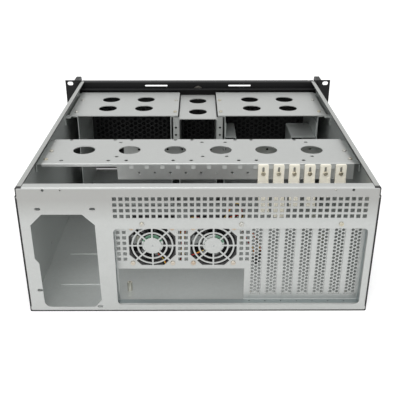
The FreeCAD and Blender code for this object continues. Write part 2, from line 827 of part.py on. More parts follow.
def backplate_screws():
    piece = screw(small_head_r, small_head_height, small_screw_r, 2 * sheet + seat_gap + screw_tip)
    return group([aimed(piece, (x, 0, z), (0, -1, 0)) for x, z in recess_screws()])


def slot_cover_screws():
    piece = screw(card_head_r, card_head_height, small_screw_r, cover_sheet + sheet + screw_tip)
    z = ledge_top + cover_sheet
    return group([aimed(piece, (x + cover_screw_offset, card_screw_y(), z), (0, 0, 1)) for x in card_xs])


# --- Rear fans --------------------------------------------------------------------------------------------


def fan_screw_places():
    half = fan_hole_spacing / 2
    corners = [(a * half, b * half) for a in (-1, 1) for b in (-1, 1)]
    return [(x + a, fan_z + b) for x in (fan_left_x, fan_right_x) for a, b in corners]


def fan_frame(lead_angle):
    """Frame, struts and motor base in one moulding, drawn about the origin with its rear face at y = 0."""
    half = fan_size / 2
    square = Part.Face(rounded_rectangle(-half, half, -half, half, fan_corner))
    duct = cylinder(fan_duct_r, (0, 0, 0), (0, 1, 0), fan_depth)
    flanges = [prism(square, "XZ", y, y + fan_flange) for y in (0, fan_depth - fan_flange)]
    frame = joined(*flanges, duct)
    frame = frame.cut(cylinder(fan_bore_r, (0, -lap, 0), (0, 1, 0), fan_depth + 2 * lap))
    base_end = fan_base_face + fan_base_thickness
    struts = []
    for angle in fan_strut_angles:
        half, reach = fan_strut_width / 2, (fan_bore_r + fan_duct_r) / 2
        strut = box(fan_base_r - lap, reach, fan_base_face, base_end, -half, half)
        strut.rotate(Vector(), Vector(0, -1, 0), angle)
        struts.append(strut)
    base = cylinder(fan_base_r, (0, fan_base_face, 0), (0, 1, 0), fan_base_thickness)
    tube = cylinder(fan_bearing_r, (0, fan_base_face, 0), (0, 1, 0), fan_base_thickness + fan_bearing_length)
    frame = joined(frame, base, tube, *struts)
    bore_start = base_end - fan_bearing_seat
    cuts = [cylinder(fan_shaft_r + shaft_gap, (0, bore_start, 0), (0, 1, 0), fan_bearing_length + 2 * lap)]
    spacing = fan_hole_spacing / 2
    for a in (-spacing, spacing):
        for b in (-spacing, spacing):
            cuts.append(cylinder(fan_screw_r + thread_gap, (a, -lap, b), (0, 1, 0), fan_depth + 2 * lap))
    half = lead_notch_width / 2
    notch = box(fan_bore_r - lap, fan_size, -lap, lead_notch_depth, -half, half)
    notch.rotate(Vector(), Vector(0, -1, 0), lead_angle)
    cuts.append(notch)
    return frame.cut(cuts)


def fan_blade():
    """One blade, lofted from a steep root to a flatter tip."""
    middle_y = fan_hub_start + fan_blade_setback
    sections = []
    for radius, pitch_angle, chord in ((fan_blade_root_r, fan_root_pitch, fan_root_chord),
                                       (fan_blade_tip_r, fan_tip_pitch, fan_tip_chord)):
        turn = math.radians(pitch_angle)
        along = Vector(0, math.sin(turn), math.cos(turn)) * (chord / 2)
        across = Vector(0, math.cos(turn), -math.sin(turn)) * (fan_blade_thickness / 2)
        centre = Vector(radius, middle_y, 0)
        low, high = centre - across, centre + across
        corners = [low - along, low + along, high + along, high - along]
        sections.append(Part.makePolygon(corners + corners[:1]))
    return Part.makeLoft(sections, True, True)


def fan_rotor():
    """Hub, shaft and blades, drawn about the origin like the frame."""
    end = fan_hub_start + fan_hub_length
    hub = cylinder(fan_base_r, (0, fan_hub_start, 0), (0, 1, 0), fan_hub_length)
    hollow = (0, fan_hub_start - lap, 0)
    hub = hub.cut(cylinder(fan_base_r - fan_hub_wall, hollow, (0, 1, 0), fan_hub_length + lap - fan_hub_wall))
    shaft_start = fan_base_face + fan_base_thickness + shaft_end_gap
    shaft = cylinder(fan_shaft_r, (0, shaft_start, 0), (0, 1, 0), end - shaft_start - fan_hub_wall / 2)
    blades = []
    for i in range(fan_blade_count):
        blade = fan_blade()
        blade.rotate(Vector(), Vector(0, 1, 0), 360 * i / fan_blade_count)
        blades.append(blade)
    sweep = cylinder(fan_blade_tip_r, (0, 0, 0), (0, 1, 0), fan_depth)
    sweep = sweep.cut(cylinder(fan_blade_root_r, (0, -lap, 0), (0, 1, 0), fan_depth + 2 * lap))
    blades = group(blades).common(sweep)
    return joined(hub, shaft, *blades.Solids)


def fan_stator():
    start = fan_hub_start + fan_stator_gap
    ring = cylinder(fan_stator_r, (0, start, 0), (0, 1, 0), fan_stator_length)
    place = (0, start - lap, 0)
    return ring.cut(cylinder(fan_bearing_r + thread_gap, place, (0, 1, 0), fan_stator_length + 2 * lap))


def fan_label():
    return cylinder(fan_label_r, (0, fan_base_face - fan_label_thickness, 0), (0, 1, 0), fan_label_thickness)


def fan_screws():
    piece = screw(fan_head_r, small_head_height, fan_screw_r, sheet + fan_screw_reach)
    return group([aimed(piece, (x, recess_depth, z), (0, -1, 0)) for x, z in fan_screw_places()])


def cable(route, radius, name):
    """A tube along straight runs joined by tangent arcs."""
    points = [Vector(*point) for point in route]
    edges = []
    start = points[0]
    radii = []
    for i in range(1, len(points) - 1):
        back, ahead = points[i - 1] - points[i], points[i + 1] - points[i]
        shorter = min(back.Length, ahead.Length)
        back.normalize()
        ahead.normalize()
        half = back.getAngle(ahead) / 2
        reach = lead_bend_share * shorter
        arc = reach * math.tan(half)
        radii.append(round(arc, 1))
        middle = points[i] + (back + ahead).normalize() * (arc / math.sin(half) - arc)
        enter, leave = points[i] + back * reach, points[i] + ahead * reach
        edges.append(Part.LineSegment(start, enter).toShape())
        edges.append(Part.Arc(enter, middle, leave).toShape())
        start = leave
    edges.append(Part.LineSegment(start, points[-1]).toShape())
    path = Part.Wire(edges)
    ring = Part.Wire([Part.makeCircle(radius, points[0], points[1] - points[0])])
    tube = path.makePipeShell([ring], True, False)
    print(name, "radii", radii, "volume share", round(tube.Volume / (math.pi * radius ** 2 * path.Length), 4))
    return tube


def lead_plug(route):
    """Connector housing at a lead's free end, in line with its last run."""
    end, before = Vector(*route[-1]), Vector(*route[-2])
    half_width, half_depth = plug_width / 2, plug_depth / 2
    housing = Part.Face(rounded_rectangle(-half_width, half_width, -half_depth, half_depth, plug_corner))
    body = prism(housing, "XY", 0, plug_length)
    half_width -= plug_wall
    half_depth -= plug_wall
    pocket = Part.Face(rectangle(-half_width, half_width, -half_depth, half_depth))
    body = body.cut(prism(pocket, "XY", plug_length - plug_pocket, plug_length + lap))
    return aimed(body, end, (end - before).normalize())


# --- Cross bar and hold-downs -----------------------------------------------------------------------------


def bar_screw_places():
    return [(bar_half_length - x, y) for x, y in bar_screws]


def cross_bar():
    """Bar across the case: a flat top with a comb along its rear edge and a lip along its front."""
    mid_z = bar_top - sheet / 2
    rear, front = bar_rear_y + sheet / 2, bar_front_y - sheet / 2
    lip_z = bar_top - bar_front_lip_depth
    section = folded([(rear, comb_bottom), (rear, mid_z), (front, mid_z), (front, lip_z)])
    bar = prism(section, "YZ", -bar_half_length, bar_half_length)
    corner = rounded_rectangle(-2 * bar_half_length, comb_left, 0, bar_top - bar_lip_depth, comb_corner)
    cuts = [prism(Part.Face(corner), "XZ", bar_rear_y - lap, bar_rear_y + 2 * sheet)]
    low = bar_top - sheet - lap
    through = sheet + 2 * lap
    for i in range(bar_hole_count):
        x = bar_hole_start_x + bar_hole_pitch * i
        cuts.append(cylinder(bar_hole_r, (x, bar_hole_y, low), (0, 0, 1), through))
    for y, xs in bar_small_holes.items():
        cuts += [cylinder(bar_small_r, (x, y, low), (0, 0, 1), through) for x in xs]
    for x, y in bar_screw_places():
        cuts += [cylinder(small_screw_r + thread_gap, (s * x, y, low), (0, 0, 1), through) for s in (-1, 1)]
    hooks = []
    for x in comb_xs:
        cuts.append(cylinder(comb_hole_r, (x, bar_rear_y - lap, comb_hole_z), (0, 1, 0), sheet + 2 * lap))
        left = x + hook_offset - hook_width / 2
        tip_z = hook_top_z - hook_height
        opening = (bar_rear_y - lap, bar_rear_y + 2 * sheet)
        cuts.append(box(left, left + hook_width, *opening, tip_z, hook_top_z - hook_sheet))
        tip = bar_rear_y - hook_reach
        blade = polygon([(rear, hook_top_z), (rear, hook_top_z - 2 * hook_sheet), (tip + hook_sheet, tip_z),
                         (tip, tip_z), (bar_rear_y, hook_top_z - hook_sheet / 2)])
        hooks.append(prism(Part.Face(blade), "YZ", left, left + hook_width))
    return joined(bar.cut(cuts), *hooks)


def cross_bar_stiffener():
    """Angle under the bar in front of the cable holes, from the comb's end to the right bracket."""
    level = bar_top - 1.5 * sheet - seat_gap
    section = folded([(stiffener_y - stiffener_width, level), (stiffener_y, level),
                      (stiffener_y, bar_top - stiffener_depth)])
    angle = prism(section, "YZ", comb_left, upper_inner_x - bracket_reach - stiffener_end_gap)
    holes = [(x, stiffener_y - sheet, bar_top - stiffener_hole_drop) for x in stiffener_xs]
    angle = drilled(angle, stiffener_hole_r, holes, (0, 1, 0), 2 * sheet)
    seen = [(x, y, level - sheet) for y, xs in bar_small_holes.items() for x in xs]
    return drilled(angle, bar_small_r, seen, (0, 0, 1), 2 * sheet)


def bar_bracket():
    """Right-hand bracket on the side wall, with a ledge under the bar."""
    ledge_z = bar_top - 1.5 * sheet
    wall = upper_inner_x - sheet / 2 - seat_gap
    section = folded([(wall - bracket_reach, ledge_z), (wall, ledge_z), (wall, ledge_z - bracket_drop)])
    rear, front = bar_rear_y + sheet + bracket_rear_gap, bar_front_y - sheet - bracket_front_gap
    bracket = prism(section, "XZ", rear, front)
    places = [(x, y, ledge_z - sheet) for x, y in bar_screw_places()]
    return drilled(bracket, small_screw_r + thread_gap, places, (0, 0, 1), 3 * sheet)


def cross_bar_screws():
    piece = screw(small_head_r, small_head_height, small_screw_r, 2 * sheet + screw_tip)
    places = [(s * x, y, bar_top) for x, y in bar_screw_places() for s in (-1, 1)]
    return group([aimed(piece, place, (0, 0, 1)) for place in places])


def hold_down(x, end_z):
    """One moulded card hold-down. It slides on its screw, and its lower end leans to one side."""
    half = hold_down_width / 2
    shift = hold_down_lean
    low = end_z + hold_down_toe
    heel = hold_down_bend_z + hold_down_heel
    outline = rounded([(-half, hold_down_top), (-half, hold_down_bend_z), (shift - half, end_z),
                       (shift + half, end_z), (shift + half, low), (half, heel), (half, hold_down_top)],
                      hold_down_corner)
    face_y = bar_rear_y - seat_gap
    body = prism(Part.Face(outline), "XZ", face_y - hold_down_thickness, face_y)
    slot_r = small_screw_r + hold_down_slot_gap
    slot = slotted(comb_hole_z + hold_down_travel / 2, 0, hold_down_travel + 2 * slot_r, slot_r)
    slot.rotate(Vector(), Vector(0, 0, 1), 90)
    body = body.cut(prism(slot, "XZ", face_y - hold_down_thickness - lap, face_y + lap))
    rib_top = comb_hole_z - hold_down_rib_drop
    rib_end = end_z + hold_down_rib_toe
    right = half - hold_down_rib_inset
    left = right - hold_down_rib_width
    rib_face = polygon([(left, rib_top), (right, rib_top), (right, hold_down_bend_z),
                        (right + shift, rib_end), (left + shift, rib_end), (left, hold_down_bend_z)])
    outer = face_y - hold_down_thickness
    rib = prism(Part.Face(rib_face), "XZ", outer - hold_down_rib_height, outer + lap)
    return moved(joined(body, rib), x)


def hold_down_screws():
    seat = bar_rear_y - hold_down_thickness - 2 * seat_gap
    shank = hold_down_thickness + 2 * sheet
    piece = screw(small_head_r, small_head_height, small_screw_r - 2 * thread_gap, shank)
    return group([aimed(piece, (x, seat, comb_hole_z), (0, -1, 0)) for x in hold_down_xs])


# --- Drive cages ------------------------------------------------------------------------------------------


def cage_screw_places():
    return [(x, y) for x in cage_screw_x for y in cage_screw_y]


def right_drive_cage():
    """A U-shaped cage for the wide bays, with a flange along each top edge."""
    flange_z = cage_plate_top - 1.5 * sheet
    floor_z = 1.5 * sheet
    inner, outer = bay_inner_x - sheet / 2, bay_outer_x + sheet / 2
    section = folded([(inner - cage_inner_flange, flange_z), (inner, flange_z), (inner, floor_z),
                      (outer, floor_z), (outer, flange_z), (outer + cage_outer_flange, flange_z)])
    cage = prism(section, "XZ", cage_rear_y, cage_front_y)
    places = [(x, y, flange_z - sheet) for x, y in cage_screw_places()]
    return drilled(cage, small_screw_r + thread_gap, places, (0, 0, 1), 3 * sheet)


def right_cage_top():
    outer = side_inner_x - cage_plate_gap
    plate = Part.Face([rectangle(cage_plate_inner_x, outer, cage_rear_y, cage_front_y)]
                      + [hole_circle(x, y, cage_hole_r) for x in cage_hole_x for y in cage_hole_y]
                      + [hole_circle(x, y, small_screw_r + thread_gap) for x, y in cage_screw_places()])
    return prism(plate, "XY", cage_plate_top - sheet, cage_plate_top)


def cage_screws():
    piece = screw(small_head_r, small_head_height, small_screw_r, 2 * sheet + screw_tip)
    places = [(s * x, y, cage_plate_top) for x, y in cage_screw_places() for s in (-1, 1)]
    return group([aimed(piece, place, (0, 0, 1)) for place in places])


def centre_drive_cage():
    """The narrow cage between the wide ones, with feet on the floor and an ear each side at its rear."""
    wall = centre_cage_half - sheet / 2
    top = centre_cage_top - sheet / 2
    foot = centre_ear_x
    floor_z = 1.5 * sheet
    section = folded([(-foot, floor_z), (-wall, floor_z), (-wall, top),
                      (wall, top), (wall, floor_z), (foot, floor_z)])
    cage = prism(section, "XZ", centre_rear_y, cage_front_y)
    inside = wall - sheet / 2 - bend
    rear = centre_rear_y - lap
    trim = box(-inside, inside, rear, centre_rear_y + centre_top_setback, top - sheet, centre_cage_top + lap)
    ear_y = centre_rear_y + sheet / 2
    ear = folded([(wall, ear_y + 2 * sheet + bend), (wall, ear_y), (centre_ear_x, ear_y)])
    ear = prism(ear, "XY", 2 * sheet + centre_ear_foot, centre_ear_top)
    cage = joined(cage.cut(trim), ear, mirrored(ear))
    levels = [centre_ear_top - drop for drop in centre_ear_hole_drop]
    holes = [(s * centre_ear_hole_x, rear, z) for s in (-1, 1) for z in levels]
    cage = drilled(cage, centre_ear_hole_r, holes, (0, 1, 0), sheet + 2 * lap)
    places = [(0, cage_front_y - y, centre_cage_top - sheet - lap) for y in centre_hole_setback]
    return drilled(cage, cage_hole_r, places, (0, 0, 1), sheet + 2 * lap)


def right_wall_bracket():
    """Two small angles that carry the outer end of a cage's top plate."""
    top = cage_plate_top - 1.5 * sheet
    wall = side_inner_x - sheet / 2 - seat_gap
    section = folded([(wall - wall_bracket_reach, top), (wall, top), (wall, top - wall_bracket_drop)])
    rear = prism(section, "XZ", centre_rear_y, centre_rear_y + wall_bracket_length)
    front = prism(section, "XZ", cage_front_y - wall_bracket_length, cage_front_y)
    return group([rear, front])


def right_cage_drive_bracket():
    """Two folded rails for a narrow drive, one on each wall of the right cage."""
    shelf = drive_shelf_z - sheet / 2
    top = drive_shelf_z + drive_shelf_rise
    left_wall = bay_inner_x + sheet / 2 + seat_gap
    right_wall = bay_outer_x - sheet / 2 - seat_gap
    left_leg = bay_inner_x + drive_shelf_left - sheet / 2
    right_leg = bay_outer_x - drive_shelf_right + sheet / 2
    leg_end = drive_shelf_z - drive_leg_drop
    left = folded([(left_wall, top), (left_wall, shelf), (left_leg, shelf), (left_leg, leg_end)])
    right = folded([(right_wall, top), (right_wall, shelf), (right_leg, shelf), (right_leg, leg_end)])
    rear = cage_rear_y + drive_shelf_setback
    return group([prism(side, "XZ", rear, rear + drive_shelf_length) for side in (left, right)])


# --- Front ------------------------------------------------------------------------------------------------


def front_panel():
    """The front panel: ears, lips along the top and bottom, returns inside the body, and its openings."""
    width = panel_half_width
    rear, front = body_length - lap, panel_front_y + lap
    plate = box(-width, width, body_length, panel_front_y, 0, case_height)
    window = box(-window_half_width, window_half_width, rear, front, window_floor, window_top)
    half = front_sheet / 2
    lip_end = panel_front_y + panel_lip_depth
    fold = front_sheet + bend
    middle = body_length + half
    lips = []
    for edge, inside in ((case_height - panel_lip_inset, -1), (panel_lip_inset, 1)):
        lip_z = edge + inside * half
        section = folded([(middle, edge + inside * 3 * fold), (middle, lip_z), (lip_end, lip_z)], front_sheet)
        lips.append(prism(section, "YZ", -panel_lip_half, panel_lip_half))
    trim = panel_lip_inset + fold
    trims = [box(-panel_lip_half, panel_lip_half, rear, front, z, z + trim) for z in (0, case_height - trim)]
    wall = side_inner_x - seat_gap
    side = box(wall - sheet, wall, body_length - panel_return_depth, middle, fold + panel_return_foot,
               step_z - rear_return_drop)
    panel = joined(plate.cut(trims), *lips, side, mirrored(side))
    through = front_sheet + 2 * lap
    cuts = [window]
    for s in (-1, 1):
        for z in ear_hole_heights():
            cuts.append(prism(slotted(s * ear_hole_x, z, ear_slot_length, ear_slot_r), "XZ", rear, front))
        middle_x = s * (light_slot_inner_x + light_slot_length / 2)
        oblong = slotted(middle_x, light_slot_z, light_slot_length, light_slot_height / 2)
        cuts.append(prism(oblong, "XZ", rear, front))
        for z in handle_screw_heights():
            cuts.append(cylinder(handle_screw_r + thread_gap, (s * handle_x, rear, z), (0, 1, 0), through))
    cuts.append(cylinder(lock_r + lock_gap, (0, rear, lock_z), (0, 1, 0), through))
    reach = cam_width / 2 + cam_gap
    cuts.append(box(-reach, reach, rear, front, lock_z - cam_length - cam_gap, lock_z))
    for z in (panel_lip_inset, case_height - panel_lip_inset - front_sheet):
        cuts.append(cylinder(hinge_pin_r + hinge_pin_gap, (hinge_x, hinge_y, z - lap), (0, 0, 1), through))
    return panel.cut(cuts)


def ear_hole_heights():
    return [ear_hole_drop, case_height - ear_hole_drop]


def handle_screw_heights():
    return [handle_bottom + handle_grip / 2, handle_top - handle_grip / 2]


def front_crossmember():
    """Angle above the mesh, between the front panel's returns. The lock's cam turns behind its leg."""
    top = crossmember_top - sheet / 2
    leg = body_length - crossmember_cam_room - sheet / 2
    rear = leg + sheet / 2 - crossmember_depth
    section = folded([(rear, top), (leg, top), (leg, crossmember_top - crossmember_leg)])
    half = side_inner_x - sheet - 2 * seat_gap
    return prism(section, "YZ", -half, half)


def front_mesh():
    """Perforated sheet behind the front panel's window."""
    half = window_half_width + mesh_margin
    floor, top = window_floor - mesh_margin, window_top + mesh_top_margin
    holes = []
    column_step = mesh_pitch * math.sqrt(3) / 2
    columns = int((window_half_width - mesh_hole_r) / column_step)
    rows = int((window_top - window_floor - 2 * mesh_hole_r) / mesh_pitch)
    for column in range(-columns, columns + 1):
        for row in range(rows):
            z = window_floor + 1.5 * mesh_hole_r + mesh_pitch * (row + (column % 2) / 2)
            holes.append(hole_circle(column * column_step, z, mesh_hole_r))
    face = Part.Face([rectangle(-half, half, floor, top)] + holes)
    return prism(face, "XZ", body_length - sheet, body_length)


def front_door():
    """Door between the panel's lips: face with vent slots, returns on three sides, two hinge knuckles."""
    low = panel_lip_inset + front_sheet + door_gap
    high = case_height - low
    front = door_front_y
    back = panel_front_y + door_return_gap
    half = front_sheet / 2
    middle = door_face_y + half
    upper, lower = high - half, low + half
    section = folded([(back, upper), (middle, upper), (middle, lower), (back, lower)], front_sheet)
    door = prism(section, "YZ", -door_half_width, door_half_width)
    end = box(-door_half_width, front_sheet - door_half_width, back, front - bend, low, high)
    hinge_room = box(hinge_x - 2 * hinge_knuckle_r, panel_half_width, 0, door_face_y, low - lap, high + lap)
    knuckles = []
    for z in (low, high - hinge_knuckle_length):
        knuckles.append(cylinder(hinge_knuckle_r, (hinge_x, hinge_y, z), (0, 0, 1), hinge_knuckle_length))
        arm_low = hinge_x - hinge_knuckle_r
        arm = (arm_low, arm_low + front_sheet, hinge_y, door_face_y + half)
        knuckles.append(box(*arm, z, z + hinge_knuckle_length))
    door = joined(door.cut(hinge_room), end, *knuckles)
    cuts = [cylinder(hinge_pin_r + hinge_pin_gap, (hinge_x, hinge_y, 0), (0, 0, 1), case_height)]
    for s in (-1, 1):
        middle_x = s * (light_slot_inner_x + light_slot_length / 2)
        oblong = slotted(middle_x, light_slot_z - door_slot_drop, light_slot_length, door_slot_height / 2)
        cuts.append(prism(oblong, "XZ", door_face_y - lap, front + lap))
    for column in range(louvre_columns):
        x = louvre_pitch_x * (column - (louvre_columns - 1) / 2)
        for row in range(louvre_rows):
            oblong = slotted(x, louvre_floor + louvre_pitch_z * row, louvre_length, louvre_height / 2)
            cuts.append(prism(oblong, "XZ", door_face_y - lap, front + lap))
    neck_r = lock_r - lock_neck_step + thread_gap
    cuts.append(cylinder(neck_r, (0, door_face_y - lap, lock_z), (0, 1, 0), front_sheet + 2 * lap))
    return door.cut(cuts)


def dust_filter():
    back = door_face_y - seat_gap
    half = window_half_width - filter_side_gap
    return box(-half, half, back - filter_thickness, back, window_floor, window_top + filter_rise)


def door_hinge_pins():
    """Two short pins, flush with the outside of the panel's lips."""
    length = front_sheet + door_gap + hinge_knuckle_length
    pin = cylinder(hinge_pin_r, (0, 0, 0), (0, 0, 1), length)
    low = moved(pin, hinge_x, hinge_y, panel_lip_inset)
    high = moved(pin, hinge_x, hinge_y, case_height - panel_lip_inset - length)
    return group([low, high])


def lock_barrel():
    """Lock body held in the door, with a head outside and its end inside the front panel's hole."""
    start, end = body_length + lock_back_gap, door_face_y - seat_gap
    body = cylinder(lock_r, (0, start, lock_z), (0, 1, 0), end - start)
    neck_end = door_front_y + 2 * seat_gap
    neck = cylinder(lock_r - lock_neck_step, (0, start, lock_z), (0, 1, 0), neck_end - start)
    head = cylinder(lock_head_r, (0, door_front_y + seat_gap, lock_z), (0, 1, 0), lock_head_height)
    barrel = joined(body, neck, head)
    bore = cylinder(plug_r + shaft_gap, (0, body_length, lock_z), (0, 1, 0), case_height)
    return barrel.cut(bore)


def lock_plug():
    """Keyed plug that turns in the barrel, with a tail for the cam."""
    outer = door_front_y + seat_gap + lock_head_height
    start = body_length + lock_back_gap
    plug = cylinder(plug_r, (0, start, lock_z), (0, 1, 0), outer - start)
    tail_end = body_length - sheet - cam_thickness
    tail = cylinder(plug_tail_r, (0, tail_end, lock_z), (0, 1, 0), start - tail_end + lap)
    half = keyway_width / 2
    low, high = lock_z - keyway_half_height, lock_z + keyway_half_height
    key = box(-half, half, outer - keyway_depth, outer + lap, low, high)
    return joined(plug, tail).cut(key)


def lock_cam():
    """Flat cam on the plug's tail. It hangs down when the lock is open."""
    start = body_length - cam_back_gap - cam_thickness
    oblong = slotted(0, 0, cam_length + cam_width / 2, cam_width / 2)
    oblong.rotate(Vector(), Vector(0, 0, 1), 90)
    oblong.translate(Vector(0, lock_z - cam_length / 2 + cam_width / 4, 0))
    cam = prism(oblong, "XZ", start, start + cam_thickness)
    place = (0, start - lap, lock_z)
    return drilled(cam, plug_tail_r + thread_gap, [place], (0, 1, 0), cam_thickness + 2 * lap)


def right_handle():
    """A bowed bar handle standing out from the ear."""
    reach = panel_front_y + handle_reach
    outer = rounded([(panel_front_y, handle_bottom), (reach, handle_bottom), (reach, handle_top),
                     (panel_front_y, handle_top)], handle_corner)
    low, high = handle_bottom + handle_grip, handle_top - handle_grip
    behind = panel_front_y - 2 * handle_corner
    inner = rounded([(behind, low), (reach - handle_grip, low), (reach - handle_grip, high), (behind, high)],
                    handle_inner_corner)
    square = rectangle(panel_front_y, panel_front_y + handle_corner, handle_bottom, handle_top)
    face = Part.Face(outer).fuse(Part.Face(square)).removeSplitter().cut(Part.Face(inner))
    grip = prism(face, "YZ", handle_x - handle_width / 2, handle_x + handle_width / 2)
    places = [(handle_x, panel_front_y - lap, z) for z in handle_screw_heights()]
    return drilled(grip, handle_screw_r + thread_gap, places, (0, 1, 0), handle_bore + lap)


def handle_screws():
    piece = screw(handle_screw_head_r, small_head_height, handle_screw_r, front_sheet + handle_screw_reach)
    places = [(s * handle_x, body_length, z) for s in (-1, 1) for z in handle_screw_heights()]
    return group([aimed(piece, place, (0, -1, 0)) for place in places])


# --- Small pieces in the body -----------------------------------------------------------------------------


def board_standoffs():
    """Hexagonal posts on the floor that carry the main board."""
    radius = standoff_flats / math.sqrt(3)
    angles = [math.radians(60 * k) for k in range(6)]
    corners = [(radius * math.cos(angle), radius * math.sin(angle)) for angle in angles]
    post = prism(Part.Face(polygon(corners)), "XY", 0, standoff_height)
    bottom = standoff_height - standoff_hole_depth
    post = post.cut(cylinder(standoff_hole_r, (0, 0, bottom), (0, 0, 1), standoff_hole_depth + lap))
    return group([moved(post, x, y, sheet) for x, y in board_holes])


def wall_rivets():
    """Dome heads on the inside of both side walls."""
    ball_r = (rivet_r ** 2 + rivet_height ** 2) / (2 * rivet_height)
    cap = Part.makeSphere(ball_r, Vector(0, 0, rivet_height - ball_r))
    cap = cap.common(cylinder(rivet_r + lap, (0, 0, 0), (0, 0, 1), rivet_height + lap))
    heads = []
    for y in (rivet_rear_y, body_length - rivet_front_gap):
        for z in rivet_z:
            heads.append(aimed(cap, (side_inner_x, y, z), (-1, 0, 0)))
            heads.append(aimed(cap, (-side_inner_x, y, z), (1, 0, 0)))
    return group(heads)


# --- All pieces -------------------------------------------------------------------------------------------


def pieces():
    """Every piece of the case, by the name of its node."""
    nodes = {
        "chassis_tray": chassis_tray(),
        "rear_panel": rear_panel(),
        "io_backplate": io_backplate(),
        "backplate_screws": backplate_screws(),
        "slot_cover_screws": slot_cover_screws(),
        "fan_screws": fan_screws(),
        "cross_bar": cross_bar(),
        "cross_bar_stiffener": cross_bar_stiffener(),
        "bar_bracket_right": bar_bracket(),
        "bar_bracket_left": mirrored(bar_bracket()),
        "cross_bar_screws": cross_bar_screws(),
        "hold_down_screws": hold_down_screws(),
        "right_drive_cage": right_drive_cage(),
        "left_drive_cage": mirrored(right_drive_cage()),
        "centre_drive_cage": centre_drive_cage(),
        "right_cage_top": right_cage_top(),
        "left_cage_top": mirrored(right_cage_top()),
        "right_cage_drive_bracket": right_cage_drive_bracket(),
        "cage_wall_bracket_right": right_wall_bracket(),
        "cage_wall_bracket_left": mirrored(right_wall_bracket()),
        "cage_screws": cage_screws(),
        "front_panel": front_panel(),
        "front_crossmember": front_crossmember(),
        "front_mesh": front_mesh(),
        "front_door": front_door(),
        "dust_filter": dust_filter(),
        "door_hinge_pins": door_hinge_pins(),
        "lock_barrel": lock_barrel(),
        "lock_plug": lock_plug(),
        "lock_cam": lock_cam(),
        "handle_right": right_handle(),
        "handle_left": mirrored(right_handle()),
        "handle_screws": handle_screws(),
        "board_standoffs": board_standoffs(),
        "wall_rivets": wall_rivets(),
    }
    cover = slot_cover()
    for i, x in enumerate(card_xs):
        nodes[f"slot_cover_{i + 1}"] = moved(cover, x)
    for i, x in enumerate(hold_down_xs):
        nodes[f"hold_down_{i + 1}"] = hold_down(x, hold_down_bend_z - hold_down_reach[i])
    for side, x, lead_angle, route in (("left", fan_left_x, 300, left_lead_route),
                                       ("right", fan_right_x, 210, right_lead_route)):
        place = (x, fan_y, fan_z)
        nodes[f"fan_{side}_frame"] = moved(fan_frame(lead_angle), *place)
        nodes[f"fan_{side}_rotor"] = moved(fan_rotor(), *place)
        nodes[f"fan_{side}_stator"] = moved(fan_stator(), *place)
        nodes[f"fan_{side}_label"] = moved(fan_label(), *place)
        nodes[f"fan_{side}_lead"] = cable(route, lead_r, f"fan_{side}_lead")
        nodes[f"fan_{side}_plug"] = lead_plug(route)
    return nodes


for node, shape in pieces().items():
    shape.exportStep(f"parts/{node}.step")
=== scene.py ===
import math

import bpy
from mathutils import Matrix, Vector


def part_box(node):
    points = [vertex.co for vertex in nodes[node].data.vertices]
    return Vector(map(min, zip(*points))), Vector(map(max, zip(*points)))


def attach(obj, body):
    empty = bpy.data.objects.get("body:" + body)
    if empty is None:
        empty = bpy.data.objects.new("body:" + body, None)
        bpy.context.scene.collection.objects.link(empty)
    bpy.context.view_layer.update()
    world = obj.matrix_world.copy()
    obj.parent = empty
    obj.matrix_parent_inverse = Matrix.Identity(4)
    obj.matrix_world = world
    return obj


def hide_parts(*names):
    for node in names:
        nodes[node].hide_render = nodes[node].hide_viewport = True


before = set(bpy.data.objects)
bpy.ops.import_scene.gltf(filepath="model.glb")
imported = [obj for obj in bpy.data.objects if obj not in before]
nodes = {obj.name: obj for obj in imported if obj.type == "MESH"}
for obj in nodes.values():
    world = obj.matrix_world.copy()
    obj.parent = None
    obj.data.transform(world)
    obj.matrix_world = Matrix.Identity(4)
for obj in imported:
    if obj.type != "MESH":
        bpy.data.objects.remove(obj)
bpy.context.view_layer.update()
scene = bpy.context.scene
print("frame loaded:", len(nodes), "nodes")

# camera, at eye height behind the case
cameraView = {"place": (-0.0002, -0.662, 0.4807), "tilt": 64.04, "turn": -0.21, "lens": 56.43}
cameraData = bpy.data.cameras.new("camera")
cameraData.lens = cameraView["lens"]
cameraData.clip_start = 0.01
cameraData.clip_end = 30
camera = bpy.data.objects.new("camera", cameraData)
camera.location = cameraView["place"]
camera.rotation_euler = (math.radians(cameraView["tilt"]), 0, math.radians(cameraView["turn"]))
scene.collection.objects.link(camera)
scene.camera = camera


# --- small helpers for node trees

def colour(red, green, blue):
    # screen values from 0 to 255, made linear
    parts = [v / 255 for v in (red, green, blue)]
    return tuple(v / 12.92 if v <= 0.04045 else ((v + 0.055) / 1.055) ** 2.4 for v in parts) + (1.0,)


def addNode(tree, kind, inputs=None, **settings):
    node = tree.nodes.new(kind)
    for key, value in settings.items():
        setattr(node, key, value)
    for key, value in (inputs or {}).items():
        if isinstance(value, bpy.types.NodeSocket):
            tree.links.new(value, node.inputs[key])
        else:
            node.inputs[key].default_value = value
    return node


def calc(tree, operation, a, b=0.0, c=None, clamp=False):
    values = {0: a, 1: b}
    if c is not None:
        values[2] = c
    return addNode(tree, "ShaderNodeMath", values, operation=operation, use_clamp=clamp).outputs[0]


def remap(tree, value, low, high, toLow, toHigh):
    values = {"Value": value, "From Min": low, "From Max": high, "To Min": toLow, "To Max": toHigh}
    return addNode(tree, "ShaderNodeMapRange", values).outputs["Result"]


def blendColour(tree, factor, first, second, mode="MIX"):
    node = addNode(tree, "ShaderNodeMix", data_type="RGBA", blend_type=mode)
    for socket, value in zip((node.inputs[0], node.inputs[6], node.inputs[7]), (factor, first, second)):
        if isinstance(value, bpy.types.NodeSocket):
            tree.links.new(value, socket)
        else:
            socket.default_value = value
    return node.outputs[2]


